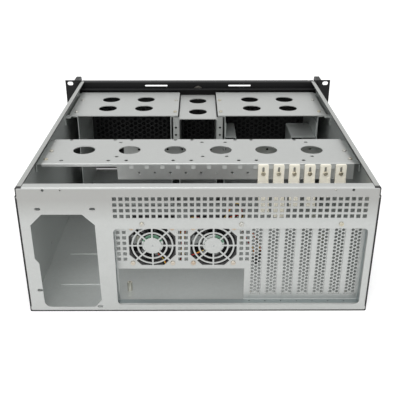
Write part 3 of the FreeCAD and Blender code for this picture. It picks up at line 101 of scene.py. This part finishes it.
def startGroup(name, inputs, outputs):
    tree = bpy.data.node_groups.new(name, "ShaderNodeTree")
    for label, (kind, value) in inputs.items():
        socket = tree.interface.new_socket(label, in_out="INPUT", socket_type=kind)
        socket.default_value = value
    for label, kind in outputs.items():
        tree.interface.new_socket(label, in_out="OUTPUT", socket_type=kind)
    entry = tree.nodes.new("NodeGroupInput")
    leave = tree.nodes.new("NodeGroupOutput")
    place = tree.nodes.new("ShaderNodeTexCoord").outputs["Object"]
    return tree, entry.outputs, leave.inputs, place


def socketLabel(name):
    # flakeSize becomes "Flake size"
    return name[0].upper() + "".join(" " + c.lower() if c.isupper() else c for c in name[1:])


def useGroup(tree, group, **values):
    node = tree.nodes.new("ShaderNodeGroup")
    node.node_tree = group
    for name, value in values.items():
        socket = node.inputs[socketLabel(name)]
        if isinstance(value, bpy.types.NodeSocket):
            tree.links.new(value, socket)
        else:
            socket.default_value = value
    return node.outputs


# --- shared surface effects

sheetPattern = {"bend": 260.0, "bendDepth": 0.0022, "smallFlakes": 3.1, "smallShare": 0.45,
                "largeShare": 0.55, "grainScale": 2200.0, "grainStretch": 0.03, "grainTone": 0.06,
                "cloudScale": 11.0, "cloudTone": 0.6, "flakeRelief": 0.25}
grainPattern = {"cloudScale": 24.0, "grainTone": 0.12, "cloudRoughness": 0.5}


def makeSheetGroup():
    # rolled zinc: flakes of slightly different grey, a fine rolling grain and hand smears
    tree, given, out, place = startGroup(
        "zincSheet",
        {"Colour": ("NodeSocketColor", (0.5, 0.5, 0.5, 1)), "Roughness": ("NodeSocketFloat", 0.4),
         "Flake size": ("NodeSocketFloat", 0.005), "Flake contrast": ("NodeSocketFloat", 0.08),
         "Grain": ("NodeSocketFloat", 0.5), "Smears": ("NodeSocketFloat", 0.1)},
        {"Colour": "NodeSocketColor", "Roughness": "NodeSocketFloat", "Height": "NodeSocketFloat"})
    look = sheetPattern
    bent = addNode(tree, "ShaderNodeTexNoise", {"Vector": place, "Scale": look["bend"], "Detail": 2.0})
    shifted = addNode(tree, "ShaderNodeVectorMath", {0: bent.outputs["Color"], 1: (look["bendDepth"],) * 3},
                      operation="MULTIPLY").outputs[0]
    warped = addNode(tree, "ShaderNodeVectorMath", {0: place, 1: shifted}, operation="ADD").outputs[0]
    flakeScale = calc(tree, "DIVIDE", 1.0, given["Flake size"])
    flakes = addNode(tree, "ShaderNodeTexVoronoi", {"Vector": warped, "Scale": flakeScale})
    tone = addNode(tree, "ShaderNodeSeparateColor", {0: flakes.outputs["Color"]}).outputs[0]
    smallScale = calc(tree, "MULTIPLY", flakeScale, look["smallFlakes"])
    small = addNode(tree, "ShaderNodeTexVoronoi", {"Vector": warped, "Scale": smallScale})
    smallTone = addNode(tree, "ShaderNodeSeparateColor", {0: small.outputs["Color"]}).outputs[1]
    largeTone = calc(tree, "MULTIPLY", tone, look["largeShare"])
    mixed = calc(tree, "MULTIPLY_ADD", smallTone, look["smallShare"], largeTone)
    centred = calc(tree, "SUBTRACT", mixed, 0.5)
    stretch = addNode(tree, "ShaderNodeMapping", {"Vector": place, "Scale": (look["grainStretch"], 1.0, 1.0)})
    grain = addNode(tree, "ShaderNodeTexNoise",
                    {"Vector": stretch.outputs[0], "Scale": look["grainScale"], "Detail": 3.0})
    grainValue = calc(tree, "SUBTRACT", grain.outputs[0], 0.5)
    cloud = addNode(tree, "ShaderNodeTexNoise",
                    {"Vector": place, "Scale": look["cloudScale"], "Detail": 4.0, "Roughness": 0.55})
    cloudValue = calc(tree, "SUBTRACT", cloud.outputs[0], 0.5)
    smearTone = calc(tree, "MULTIPLY", given["Smears"], look["cloudTone"])
    grainTone = calc(tree, "MULTIPLY", given["Grain"], look["grainTone"])
    level = calc(tree, "MULTIPLY", centred, given["Flake contrast"])
    level = calc(tree, "ADD", level, calc(tree, "MULTIPLY", cloudValue, smearTone))
    level = calc(tree, "ADD", level, calc(tree, "MULTIPLY", grainValue, grainTone))
    level = calc(tree, "ADD", level, 1.0)
    grey = addNode(tree, "ShaderNodeCombineColor", {0: level, 1: level, 2: level}).outputs[0]
    tree.links.new(blendColour(tree, 1.0, given["Colour"], grey, "MULTIPLY"), out["Colour"])
    rough = calc(tree, "ADD", given["Roughness"], calc(tree, "MULTIPLY", cloudValue, given["Smears"]))
    rough = calc(tree, "ADD", rough, calc(tree, "MULTIPLY", centred, given["Flake contrast"]), clamp=True)
    tree.links.new(rough, out["Roughness"])
    flakeHeight = calc(tree, "MULTIPLY", centred, look["flakeRelief"])
    height = calc(tree, "ADD", calc(tree, "MULTIPLY", grainValue, given["Grain"]), flakeHeight)
    tree.links.new(height, out["Height"])
    return tree


def makeGrainGroup():
    # a moulded or sprayed surface: fine pits and faint clouds
    tree, given, out, place = startGroup(
        "fineGrain",
        {"Colour": ("NodeSocketColor", (0.5, 0.5, 0.5, 1)), "Roughness": ("NodeSocketFloat", 0.4),
         "Grain size": ("NodeSocketFloat", 0.0006), "Grain": ("NodeSocketFloat", 0.5),
         "Clouds": ("NodeSocketFloat", 0.1)},
        {"Colour": "NodeSocketColor", "Roughness": "NodeSocketFloat", "Height": "NodeSocketFloat"})
    look = grainPattern
    scale = calc(tree, "DIVIDE", 1.0, given["Grain size"])
    fine = addNode(tree, "ShaderNodeTexNoise", {"Vector": place, "Scale": scale, "Detail": 3.0})
    fineValue = calc(tree, "SUBTRACT", fine.outputs[0], 0.5)
    cloud = addNode(tree, "ShaderNodeTexNoise", {"Vector": place, "Scale": look["cloudScale"], "Detail": 3.0})
    cloudValue = calc(tree, "SUBTRACT", cloud.outputs[0], 0.5)
    grainTone = calc(tree, "MULTIPLY", given["Grain"], look["grainTone"])
    level = calc(tree, "ADD", calc(tree, "MULTIPLY", cloudValue, given["Clouds"]), 1.0)
    level = calc(tree, "ADD", level, calc(tree, "MULTIPLY", fineValue, grainTone))
    grey = addNode(tree, "ShaderNodeCombineColor", {0: level, 1: level, 2: level}).outputs[0]
    tree.links.new(blendColour(tree, 1.0, given["Colour"], grey, "MULTIPLY"), out["Colour"])
    cloudRoughness = calc(tree, "MULTIPLY", given["Clouds"], look["cloudRoughness"])
    rough = calc(tree, "MULTIPLY", cloudValue, cloudRoughness)
    tree.links.new(calc(tree, "ADD", given["Roughness"], rough, clamp=True), out["Roughness"])
    tree.links.new(calc(tree, "MULTIPLY", fineValue, given["Grain"]), out["Height"])
    return tree


zincSheet = makeSheetGroup()
fineGrain = makeGrainGroup()


def startMaterial(name, metallic=0.0, bump=0.2, bumpDepth=0.0002, **fixed):
    material = bpy.data.materials.new(name)
    material.use_nodes = True
    tree = material.node_tree
    shader = tree.nodes["Principled BSDF"]
    shader.inputs["Metallic"].default_value = metallic
    for label, value in fixed.items():
        shader.inputs[label].default_value = value
    relief = addNode(tree, "ShaderNodeBump", {"Strength": bump, "Distance": bumpDepth})
    tree.links.new(relief.outputs[0], shader.inputs["Normal"])
    return material, tree, shader, relief


def wire(tree, shader, relief, surface):
    tree.links.new(surface["Colour"], shader.inputs["Base Color"])
    tree.links.new(surface["Roughness"], shader.inputs["Roughness"])
    tree.links.new(surface["Height"], relief.inputs["Height"])


def objectPlace(tree):
    place = tree.nodes.new("ShaderNodeTexCoord").outputs["Object"]
    parts = addNode(tree, "ShaderNodeSeparateXYZ", {0: place}).outputs
    return parts[0], parts[1], parts[2]


# --- finishes

finishes = {
    "bareSteel": {"colour": (182, 184, 182), "roughness": 0.42, "flake": 0.0045, "contrast": 0.07,
                  "metallic": 0.7},
    "wallSteel": {"colour": (182, 186, 184), "roughness": 0.38, "flake": 0.0045, "contrast": 0.09,
                  "metallic": 0.55},
    # the next three are painted shade: darker copies of the bare zinc for the tray's top rim, the walls of
    # the rear sheet's recess and the band towards its top edge
    "rimShade": {"colour": (164, 166, 163)},
    "recessShade": {"colour": (150, 159, 160), "soft": 0.0008, "panelFrom": 0.0014, "plateFrom": 0.003,
                    "deepest": 0.0116},
    "topShade": {"colour": (146, 145, 142), "low": 0.128, "high": 0.158, "share": 0.65, "rim": 0.1725},
    "blackCoat": {"colour": (21, 21, 22), "roughness": 0.5, "grain": 0.0007},
    "meshBlack": {"colour": (13, 13, 14), "roughness": 0.6, "grain": 0.0007},
    "fanPlastic": {"colour": (33, 33, 34), "roughness": 0.45, "grain": 0.0009},
    "beige": {"colour": (252, 247, 231), "roughness": 0.42, "grain": 0.0011},
    "screw": {"roughness": 0.34, "grain": 0.0004, "driftScale": 60.0, "driftLow": 0.42, "driftHigh": 0.58,
              "tintShare": 0.75},
    "wire": {"roughness": 0.32, "grain": 0.0005},
    "label": {"colour": (224, 228, 225), "field": (116, 160, 134), "roughness": 0.38, "grain": 0.0008},
    # the foam's pore colour is painted shade in its cell hollows
    "foam": {"pore": (17, 17, 18), "wall": (58, 58, 60), "cells": 620.0, "wallWidth": 0.16},
}


def startSteel(name, recipe):
    material, tree, shader, relief = startMaterial(name, recipe["metallic"], bump=0.12)
    surface = useGroup(tree, zincSheet, colour=colour(*recipe["colour"]), roughness=recipe["roughness"],
                       flakeSize=recipe["flake"], flakeContrast=recipe["contrast"], smears=0.12)
    wire(tree, shader, relief, surface)
    return material, tree, shader, surface


def makePanelMaterial(name, recessShadeFrom):
    # the same sheet, with painted shade: darker on the walls of its pressed recess and darker towards the
    # case's top edge
    shadeInRecess, shadeAtTop = finishes["recessShade"], finishes["topShade"]
    material, tree, shader, surface = startSteel(name, finishes["bareSteel"])
    _, y, z = objectPlace(tree)
    # painted shade on the walls of the pressed recess
    recessShadeMask = remap(tree, y, recessShadeFrom, recessShadeFrom + shadeInRecess["soft"], 0.0, 1.0)
    recessShadeMask = calc(tree, "MULTIPLY", recessShadeMask, calc(tree, "LESS_THAN", y, shadeInRecess["deepest"]))
    belowRim = calc(tree, "LESS_THAN", z, shadeAtTop["rim"])
    recessShadeMask = calc(tree, "MULTIPLY", recessShadeMask, belowRim)
    # painted shade darkening the sheet towards the case's top edge
    upper = remap(tree, z, shadeAtTop["low"], shadeAtTop["high"], 0.0, shadeAtTop["share"])
    upper = calc(tree, "MULTIPLY", upper, belowRim)
    withTopShade = blendColour(tree, upper, surface["Colour"], colour(*shadeAtTop["colour"]))
    withRecessShade = blendColour(tree, recessShadeMask, withTopShade, colour(*shadeInRecess["colour"]))
    tree.links.new(withRecessShade, shader.inputs["Base Color"])
    return material


def makeTrayMaterial():
    # bare zinc inside with painted shade darkening its top rim, black coat on the outside and on the cut
    # edges
    inside, outside = finishes["wallSteel"], finishes["blackCoat"]
    skin = {"halfWidth": 0.215, "stepIn": 0.0012, "stepHeight": 0.1645, "depth": 0.0003, "rearLip": 0.004,
            "rimHeight": 0.1735, "rimEdge": 0.2069}
    material, tree, shader, relief = startMaterial("trayFinish", bump=0.15)
    bare = useGroup(tree, zincSheet, colour=colour(*inside["colour"]), roughness=inside["roughness"],
                    flakeSize=inside["flake"], flakeContrast=inside["contrast"], smears=0.14)
    coat = useGroup(tree, fineGrain, colour=colour(*outside["colour"]), roughness=outside["roughness"],
                    grainSize=outside["grain"], clouds=0.12)
    x, y, z = objectPlace(tree)
    away = calc(tree, "ABSOLUTE", x)
    rim = calc(tree, "GREATER_THAN", z, skin["rimHeight"])
    # painted shade: the top rim gets a darker copy of the bare zinc
    bareWithRimShade = blendColour(tree, rim, bare["Colour"], colour(*finishes["rimShade"]["colour"]))
    step = calc(tree, "MULTIPLY", calc(tree, "GREATER_THAN", z, skin["stepHeight"]), skin["stepIn"])
    edge = calc(tree, "SUBTRACT", skin["halfWidth"] - skin["depth"], step)
    painted = calc(tree, "GREATER_THAN", away, edge)
    painted = calc(tree, "MAXIMUM", painted, calc(tree, "LESS_THAN", z, skin["depth"]))
    painted = calc(tree, "MAXIMUM", painted, calc(tree, "LESS_THAN", y, skin["rearLip"]))
    cutEdge = calc(tree, "MULTIPLY", rim, calc(tree, "LESS_THAN", away, skin["rimEdge"]))
    painted = calc(tree, "MAXIMUM", painted, cutEdge)
    tree.links.new(blendColour(tree, painted, bareWithRimShade, coat["Colour"]), shader.inputs["Base Color"])
    roughness = blendColour(tree, painted, bare["Roughness"], coat["Roughness"])
    tree.links.new(roughness, shader.inputs["Roughness"])
    height = blendColour(tree, painted, bare["Height"], coat["Height"])
    tree.links.new(height, relief.inputs["Height"])
    metal = calc(tree, "MULTIPLY", calc(tree, "SUBTRACT", 1.0, painted), inside["metallic"])
    tree.links.new(metal, shader.inputs["Metallic"])
    return material


def makeCoat(name, recipe, bump=0.35, clouds=0.12, **fixed):
    material, tree, shader, relief = startMaterial(name, bump=bump, **fixed)
    surface = useGroup(tree, fineGrain, colour=colour(*recipe["colour"]), roughness=recipe["roughness"],
                       grainSize=recipe["grain"], clouds=clouds)
    wire(tree, shader, relief, surface)
    return material


# each plated metal's own colour and the one it drifts to
platings = {
    "zincScrew": ((184, 183, 178), (192, 184, 160)),
    "darkScrew": ((214, 207, 188), (190, 180, 158)),
    "fanScrew": ((196, 188, 176), (182, 164, 144)),
    "lockMetal": ((168, 164, 156), (138, 134, 126)),
    "standoffMetal": ((214, 212, 202), (190, 188, 176)),
    "statorSteel": ((120, 108, 96), (92, 80, 66)),
}


def makeScrewMaterial(name):
    recipe = finishes["screw"]
    shade, tint = platings[name]
    material, tree, shader, relief = startMaterial(name, 0.9, bump=0.1)
    surface = useGroup(tree, fineGrain, colour=colour(*shade), roughness=recipe["roughness"],
                       grainSize=recipe["grain"], grain=0.8, clouds=0.3)
    place = tree.nodes.new("ShaderNodeTexCoord").outputs["Object"]
    drift = addNode(tree, "ShaderNodeTexNoise",
                    {"Vector": place, "Scale": recipe["driftScale"], "Detail": 1.0}).outputs[0]
    strength = remap(tree, drift, recipe["driftLow"], recipe["driftHigh"], 0.0, recipe["tintShare"])
    tree.links.new(blendColour(tree, strength, surface["Colour"], colour(*tint)), shader.inputs["Base Color"])
    tree.links.new(surface["Roughness"], shader.inputs["Roughness"])
    tree.links.new(surface["Height"], relief.inputs["Height"])
    return material


def makeLabelMaterial(name, centre, turn, half):
    # white film with one green field along part of its rim
    recipe = finishes["label"]
    material, tree, shader, relief = startMaterial(name, bump=0.05)
    surface = useGroup(tree, fineGrain, colour=colour(*recipe["colour"]), roughness=recipe["roughness"],
                       grainSize=recipe["grain"], clouds=0.06)
    x, _, z = objectPlace(tree)
    u = calc(tree, "SUBTRACT", x, centre[0])
    v = calc(tree, "SUBTRACT", z, centre[1])
    c, s = math.cos(math.radians(turn)), math.sin(math.radians(turn))
    along = calc(tree, "ADD", calc(tree, "MULTIPLY", u, c), calc(tree, "MULTIPLY", v, s))
    across = calc(tree, "SUBTRACT", calc(tree, "MULTIPLY", v, c), calc(tree, "MULTIPLY", u, s))
    angle = calc(tree, "ABSOLUTE", calc(tree, "ARCTAN2", across, along))
    field = calc(tree, "LESS_THAN", angle, math.radians(half))
    printed = blendColour(tree, field, surface["Colour"], colour(*recipe["field"]))
    tree.links.new(printed, shader.inputs["Base Color"])
    tree.links.new(surface["Roughness"], shader.inputs["Roughness"])
    tree.links.new(surface["Height"], relief.inputs["Height"])
    return material


def makeFoamMaterial():
    recipe = finishes["foam"]
    material, tree, shader, relief = startMaterial("openFoam", bump=0.8, bumpDepth=0.0008, Roughness=0.9)
    place = tree.nodes.new("ShaderNodeTexCoord").outputs["Object"]
    cells = addNode(tree, "ShaderNodeTexVoronoi", {"Vector": place, "Scale": recipe["cells"]},
                    feature="DISTANCE_TO_EDGE")
    # painted shade: the hollows of the cells are dark, their walls lighter
    walls = remap(tree, cells.outputs["Distance"], 0.0, recipe["wallWidth"], 1.0, 0.0)
    foamColour = blendColour(tree, walls, colour(*recipe["pore"]), colour(*recipe["wall"]))
    tree.links.new(foamColour, shader.inputs["Base Color"])
    tree.links.new(walls, relief.inputs["Height"])
    return material


bareSteel = startSteel("bareSteel", finishes["bareSteel"])[0]
wallSteel = startSteel("wallSteel", finishes["wallSteel"])[0]
panelSteel = makePanelMaterial("panelSteel", finishes["recessShade"]["panelFrom"])
plateSteel = makePanelMaterial("plateSteel", finishes["recessShade"]["plateFrom"])
trayFinish = makeTrayMaterial()
blackCoat = makeCoat("blackCoat", finishes["blackCoat"], **{"Specular IOR Level": 0.26})
meshBlack = makeCoat("meshBlack", finishes["meshBlack"])
fanPlastic = makeCoat("fanPlastic", finishes["fanPlastic"], bump=0.2)
beigePlastic = makeCoat("beigePlastic", finishes["beige"], bump=0.1, clouds=0.06)
zincScrew = makeScrewMaterial("zincScrew")
darkScrew = makeScrewMaterial("darkScrew")
fanScrew = makeScrewMaterial("fanScrew")
lockMetal = makeScrewMaterial("lockMetal")
standoffMetal = makeScrewMaterial("standoffMetal")
statorSteel = makeScrewMaterial("statorSteel")
foam = makeFoamMaterial()
wireRed = makeCoat("wireRed", {"colour": (186, 34, 34), **finishes["wire"]}, bump=0.05)
wireYellow = makeCoat("wireYellow", {"colour": (206, 170, 50), **finishes["wire"]}, bump=0.05)
wireBlack = makeCoat("wireBlack", {"colour": (24, 24, 25), **finishes["wire"]}, bump=0.05)
# each label's centre, and the middle and half width of its green field in degrees
labelFields = {"left": {"centre": (-0.0568, 0.0897), "turn": 90, "half": 70},
               "right": {"centre": (0.019, 0.0897), "turn": 45, "half": 34}}
labels = {side: makeLabelMaterial("label" + side.capitalize(), **field)
          for side, field in labelFields.items()}
print("materials made:", len(bpy.data.materials))

# --- CAD pieces get their finishes

finishOf = {
    panelSteel: ["rear_panel"],
    plateSteel: ["io_backplate"],
    bareSteel: ["slot_cover_", "cross_bar", "left_cage_top", "right_cage_top",
                "centre_drive_cage", "wall_rivets"],
    wallSteel: ["left_drive_cage", "right_drive_cage", "bar_bracket_", "cage_wall_bracket_",
                "right_cage_drive_bracket"],
    trayFinish: ["chassis_tray"],
    meshBlack: ["front_mesh"],
    blackCoat: ["front_panel", "front_door", "front_crossmember", "handle_left", "handle_right",
                "handle_screws"],
    beigePlastic: ["hold_down_"],
    fanPlastic: ["fan_left_frame", "fan_right_frame", "fan_left_rotor", "fan_right_rotor", "fan_left_plug",
                 "fan_right_plug"],
    zincScrew: ["backplate_screws", "slot_cover_screws", "cross_bar_screws", "cage_screws"],
    fanScrew: ["fan_screws"],
    darkScrew: ["hold_down_screws"],
    lockMetal: ["lock_barrel", "lock_plug", "lock_cam", "door_hinge_pins"],
    standoffMetal: ["board_standoffs"],
    statorSteel: ["fan_left_stator", "fan_right_stator"],
    labels["left"]: ["fan_left_label"],
    labels["right"]: ["fan_right_label"],
}


def setFinish(piece, material):
    piece.data.materials.clear()
    piece.data.materials.append(material)


for name, piece in nodes.items():
    chosen, longest = None, 0
    for material, starts in finishOf.items():
        for start in starts:
            if name.startswith(start) and len(start) > longest:
                chosen, longest = material, len(start)
    if chosen:
        setFinish(piece, chosen)
    else:
        print("no finish for", name)
print("finishes set")

# --- fan leads: three twisted wires each, from the motor's label round the frame and along to the plug

leads = {
    "left": {
        "route": [(-49.6, 14.4, 77.2), (-43.0, 14.5, 66.8), (-38.0, 14.4, 57.1), (-27.0, 16.5, 56.6),
                  (-21.4, 20.5, 66.0), (-20.7, 23.0, 84.0), (-22.2, 23.4, 103.0), (-19.5, 19.6, 120.5),
                  (-10.5, 10.8, 128.4), (4.0, 6.3, 125.4), (20.0, 6.1, 123.8), (31.2, 6.8, 128.0),
                  (36.6, 9.3, 139.2), (42.2, 12.8, 146.6), (49.4, 17.4, 145.0), (53.6, 20.6, 135.6),
                  (54.5, 21.5, 122.0), (54.9, 21.7, 106.0), (60.2, 22.4, 92.5), (68.6, 23.0, 82.0),
                  (72.0, 23.4, 68.0)],
    },
    "right": {
        "route": [(6.5, 14.4, 82.5), (-3.7, 14.4, 76.2), (-13.3, 14.6, 71.1), (-18.2, 16.5, 74.5),
                  (-17.6, 20.5, 85.0), (-16.6, 25.0, 102.0), (-14.5, 22.8, 119.0), (-6.5, 14.6, 128.6),
                  (7.0, 9.9, 127.2), (22.0, 9.4, 124.2), (34.0, 10.6, 124.0), (43.0, 17.0, 129.5),
                  (51.5, 24.4, 125.5), (58.0, 28.2, 113.5), (66.4, 28.8, 100.0), (75.8, 28.2, 87.0),
                  (79.6, 27.6, 73.0)],
    },
}
wireSizes = {"wireRadius": 0.00052, "layRadius": 0.0006, "pitch": 0.022, "step": 0.0016, "sides": 8,
             "diameter": 0.0022}


def addSocket(tree, label, kind, side="INPUT", value=None):
    socket = tree.interface.new_socket(label, in_out=side, socket_type=kind)
    if value is not None:
        socket.default_value = value
    return socket.identifier


def makeTwistTree(materials):
    # three wires laid round the path, each a tube in its own colour
    tree = bpy.data.node_groups.new("twistedWires", "GeometryNodeTree")
    addSocket(tree, "Path", "NodeSocketGeometry")
    ids = {}
    for key in ("wireRadius", "layRadius", "pitch", "step"):
        ids[key] = addSocket(tree, socketLabel(key), "NodeSocketFloat", value=wireSizes[key])
    ids["sides"] = addSocket(tree, "Sides", "NodeSocketInt", value=wireSizes["sides"])
    addSocket(tree, "Wires", "NodeSocketGeometry", "OUTPUT")
    given = tree.nodes.new("NodeGroupInput").outputs
    leave = tree.nodes.new("NodeGroupOutput").inputs
    spaced = addNode(tree, "GeometryNodeResampleCurve", {"Curve": given["Path"], "Length": given["Step"]},
                     mode="LENGTH")
    along = addNode(tree, "GeometryNodeSplineParameter").outputs["Length"]
    normal = tree.nodes.new("GeometryNodeInputNormal").outputs[0]
    tangent = tree.nodes.new("GeometryNodeInputTangent").outputs[0]
    turn = calc(tree, "DIVIDE", along, given["Pitch"])
    joined = tree.nodes.new("GeometryNodeJoinGeometry")
    for i, material in enumerate(materials):
        angle = calc(tree, "MULTIPLY_ADD", turn, 2 * math.pi, 2 * math.pi * i / len(materials))
        swung = addNode(tree, "ShaderNodeVectorRotate", {"Vector": normal, "Axis": tangent, "Angle": angle},
                        rotation_type="AXIS_ANGLE").outputs[0]
        offset = addNode(tree, "ShaderNodeVectorMath", {0: swung, "Scale": given["Lay radius"]},
                         operation="SCALE").outputs[0]
        moved = addNode(tree, "GeometryNodeSetPosition",
                        {"Geometry": spaced.outputs[0], "Offset": offset}).outputs[0]
        ring = addNode(tree, "GeometryNodeCurvePrimitiveCircle",
                       {"Resolution": given["Sides"], "Radius": given["Wire radius"]})
        tube = addNode(tree, "GeometryNodeCurveToMesh",
                       {"Curve": moved, "Profile Curve": ring.outputs[0], "Fill Caps": True})
        painted = addNode(tree, "GeometryNodeSetMaterial",
                          {"Geometry": tube.outputs[0], "Material": material})
        tree.links.new(painted.outputs[0], joined.inputs[0])
    real = addNode(tree, "GeometryNodeRealizeInstances", {0: joined.outputs[0]})
    smooth = addNode(tree, "GeometryNodeSetShadeSmooth", {0: real.outputs[0]})
    tree.links.new(smooth.outputs[0], leave[0])
    return tree, ids


def takeMesh(source, name):
    # the evaluated shape as a plain mesh piece
    bpy.context.view_layer.update()
    shape = bpy.data.meshes.new_from_object(source.evaluated_get(bpy.context.evaluated_depsgraph_get()))
    piece = bpy.data.objects.new(name, shape)
    scene.collection.objects.link(piece)
    return piece


def makeLead(name, route, tree, ids):
    curve = bpy.data.curves.new(name + "Route", "CURVE")
    curve.dimensions = "3D"
    curve.resolution_u = 10
    spline = curve.splines.new("NURBS")
    spline.points.add(len(route) - 1)
    for point, (x, y, z) in zip(spline.points, route):
        point.co = (x / 1000, y / 1000, z / 1000, 1)
    spline.order_u = 3
    spline.use_endpoint_u = True
    guide = bpy.data.objects.new(name + "Route", curve)
    scene.collection.objects.link(guide)
    bpy.context.view_layer.update()
    line = bpy.data.meshes.new_from_object(guide.evaluated_get(bpy.context.evaluated_depsgraph_get()))
    path = [tuple(v.co) for v in line.vertices]
    twist = guide.modifiers.new("twist", "NODES")
    twist.node_group = tree
    for key, identifier in ids.items():
        twist[identifier] = wireSizes[key]
    piece = takeMesh(guide, name)
    bpy.data.objects.remove(guide)
    return piece, path


twistTree, twistIds = makeTwistTree([wireRed, wireYellow, wireBlack])
for side, lead in leads.items():
    piece, path = makeLead("fanLead" + side.capitalize(), lead["route"], twistTree, twistIds)
    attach(piece, "case")
    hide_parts(f"fan_{side}_lead")

# --- dust filter: a thin foam pad behind the door's slots

filterPad = {"inset": 0.0006, "soft": 0.0016, "softWidth": 0.006, "backSoft": 0.4, "columns": 60, "rows": 22,
             "waves": 0.00025, "fallingWave": (55, 31), "risingWave": (17, 90), "frontGap": 0.0003,
             "backGap": 0.0001}


def makeFilter():
    low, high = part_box("dust_filter")
    inset = filterPad["inset"]
    wide, tall = high.x - low.x, high.z - low.z
    falling, rising = filterPad["fallingWave"], filterPad["risingWave"]
    columns, rows = filterPad["columns"], filterPad["rows"]
    points, faces = [], []
    for side in (0, 1):
        for row in range(rows + 1):
            for column in range(columns + 1):
                u, v = column / columns, row / rows
                x = low.x + inset + (wide - 2 * inset) * u
                z = low.z + inset + (tall - 2 * inset) * v
                edge = min(u * wide, (1 - u) * wide, v * tall, (1 - v) * tall)
                soft = filterPad["soft"] * max(0.0, 1 - edge / filterPad["softWidth"]) ** 2
                wave = filterPad["waves"] * math.sin(x * falling[0] + z * falling[1])
                wave *= math.sin(z * rising[1] - x * rising[0])
                front = low.y + filterPad["frontGap"] + soft + wave
                back = high.y - filterPad["backGap"] - soft * filterPad["backSoft"]
                y = front if side == 0 else back
                points.append((x, y, z))
    step = (rows + 1) * (columns + 1)
    for row in range(rows):
        for column in range(columns):
            a = row * (columns + 1) + column
            b, c, d = a + 1, a + columns + 2, a + columns + 1
            faces.append((a, b, c, d))
            faces.append((step + d, step + c, step + b, step + a))
    ring = list(range(columns))
    ring += [row * (columns + 1) + columns for row in range(rows)]
    ring += [rows * (columns + 1) + column for column in range(columns, 0, -1)]
    ring += [row * (columns + 1) for row in range(rows, 0, -1)]
    for a, b in zip(ring, ring[1:] + ring[:1]):
        faces.append((b, a, step + a, step + b))
    mesh = bpy.data.meshes.new("filterPad")
    mesh.from_pydata(points, [], faces)
    mesh.shade_smooth()
    pad = bpy.data.objects.new("filterPad", mesh)
    scene.collection.objects.link(pad)
    setFinish(pad, foam)
    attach(pad, "door")
    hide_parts("dust_filter")


makeFilter()
print("filter made")

# --- floor, world and lamps

stageLook = {"floorSize": 6.0, "floorColour": (236, 236, 236), "glow": 0.3, "worldLight": 0.9}


def makeStage():
    size = stageLook["floorSize"]
    mesh = bpy.data.meshes.new("floor")
    corners = [(-size, -size, 0), (size, -size, 0), (size, size, 0), (-size, size, 0)]
    mesh.from_pydata(corners, [], [(0, 1, 2, 3)])
    floor = bpy.data.objects.new("floor", mesh)
    scene.collection.objects.link(floor)
    material = bpy.data.materials.new("paleFloor")
    material.use_nodes = True
    tree = material.node_tree
    shader = tree.nodes["Principled BSDF"]
    shader.inputs["Base Color"].default_value = colour(*stageLook["floorColour"])
    shader.inputs["Roughness"].default_value = 0.9
    shader.inputs["Emission Color"].default_value = (1, 1, 1, 1)
    rays = tree.nodes.new("ShaderNodeLightPath").outputs
    seen = calc(tree, "MAXIMUM", rays["Is Camera Ray"], rays["Is Glossy Ray"])
    seen = calc(tree, "MAXIMUM", seen, rays["Is Transmission Ray"])
    tree.links.new(calc(tree, "MULTIPLY", seen, stageLook["glow"]), shader.inputs["Emission Strength"])
    setFinish(floor, material)


def makeWorld():
    world = bpy.data.worlds.new("world")
    scene.world = world
    world.use_nodes = True
    tree = world.node_tree
    back = tree.nodes["Background"]
    back.inputs["Color"].default_value = (1, 1, 1, 1)
    rays = tree.nodes.new("ShaderNodeLightPath").outputs
    seen = calc(tree, "MAXIMUM", rays["Is Camera Ray"], rays["Is Glossy Ray"])
    seen = calc(tree, "MAXIMUM", seen, rays["Is Transmission Ray"])
    tree.links.new(remap(tree, seen, 0.0, 1.0, stageLook["worldLight"], 1.0), back.inputs["Strength"])


lamps = {
    "topLamp": {"place": (0.0, 0.25, 1.9), "aim": (0.0, 0.22, 0.05), "size": 1.6, "power": 5},
    "rearLamp": {"place": (-0.3, -1.5, 1.7), "aim": (0.0, 0.25, 0.08), "size": 1.0, "power": 16},
    "sideLamp": {"place": (1.9, 0.2, 1.0), "aim": (0.0, 0.2, 0.08), "size": 1.2, "power": 3},
}


def makeLamps():
    for name, lamp in lamps.items():
        data = bpy.data.lights.new(name, "AREA")
        data.size = lamp["size"]
        data.energy = lamp["power"]
        light = bpy.data.objects.new(name, data)
        light.location = lamp["place"]
        beam = Vector(lamp["aim"]) - Vector(lamp["place"])
        light.rotation_euler = beam.to_track_quat("-Z", "Y").to_euler()
        scene.collection.objects.link(light)


makeStage()
makeWorld()
makeLamps()
scene.view_settings.view_transform = "Standard"
print("stage made")
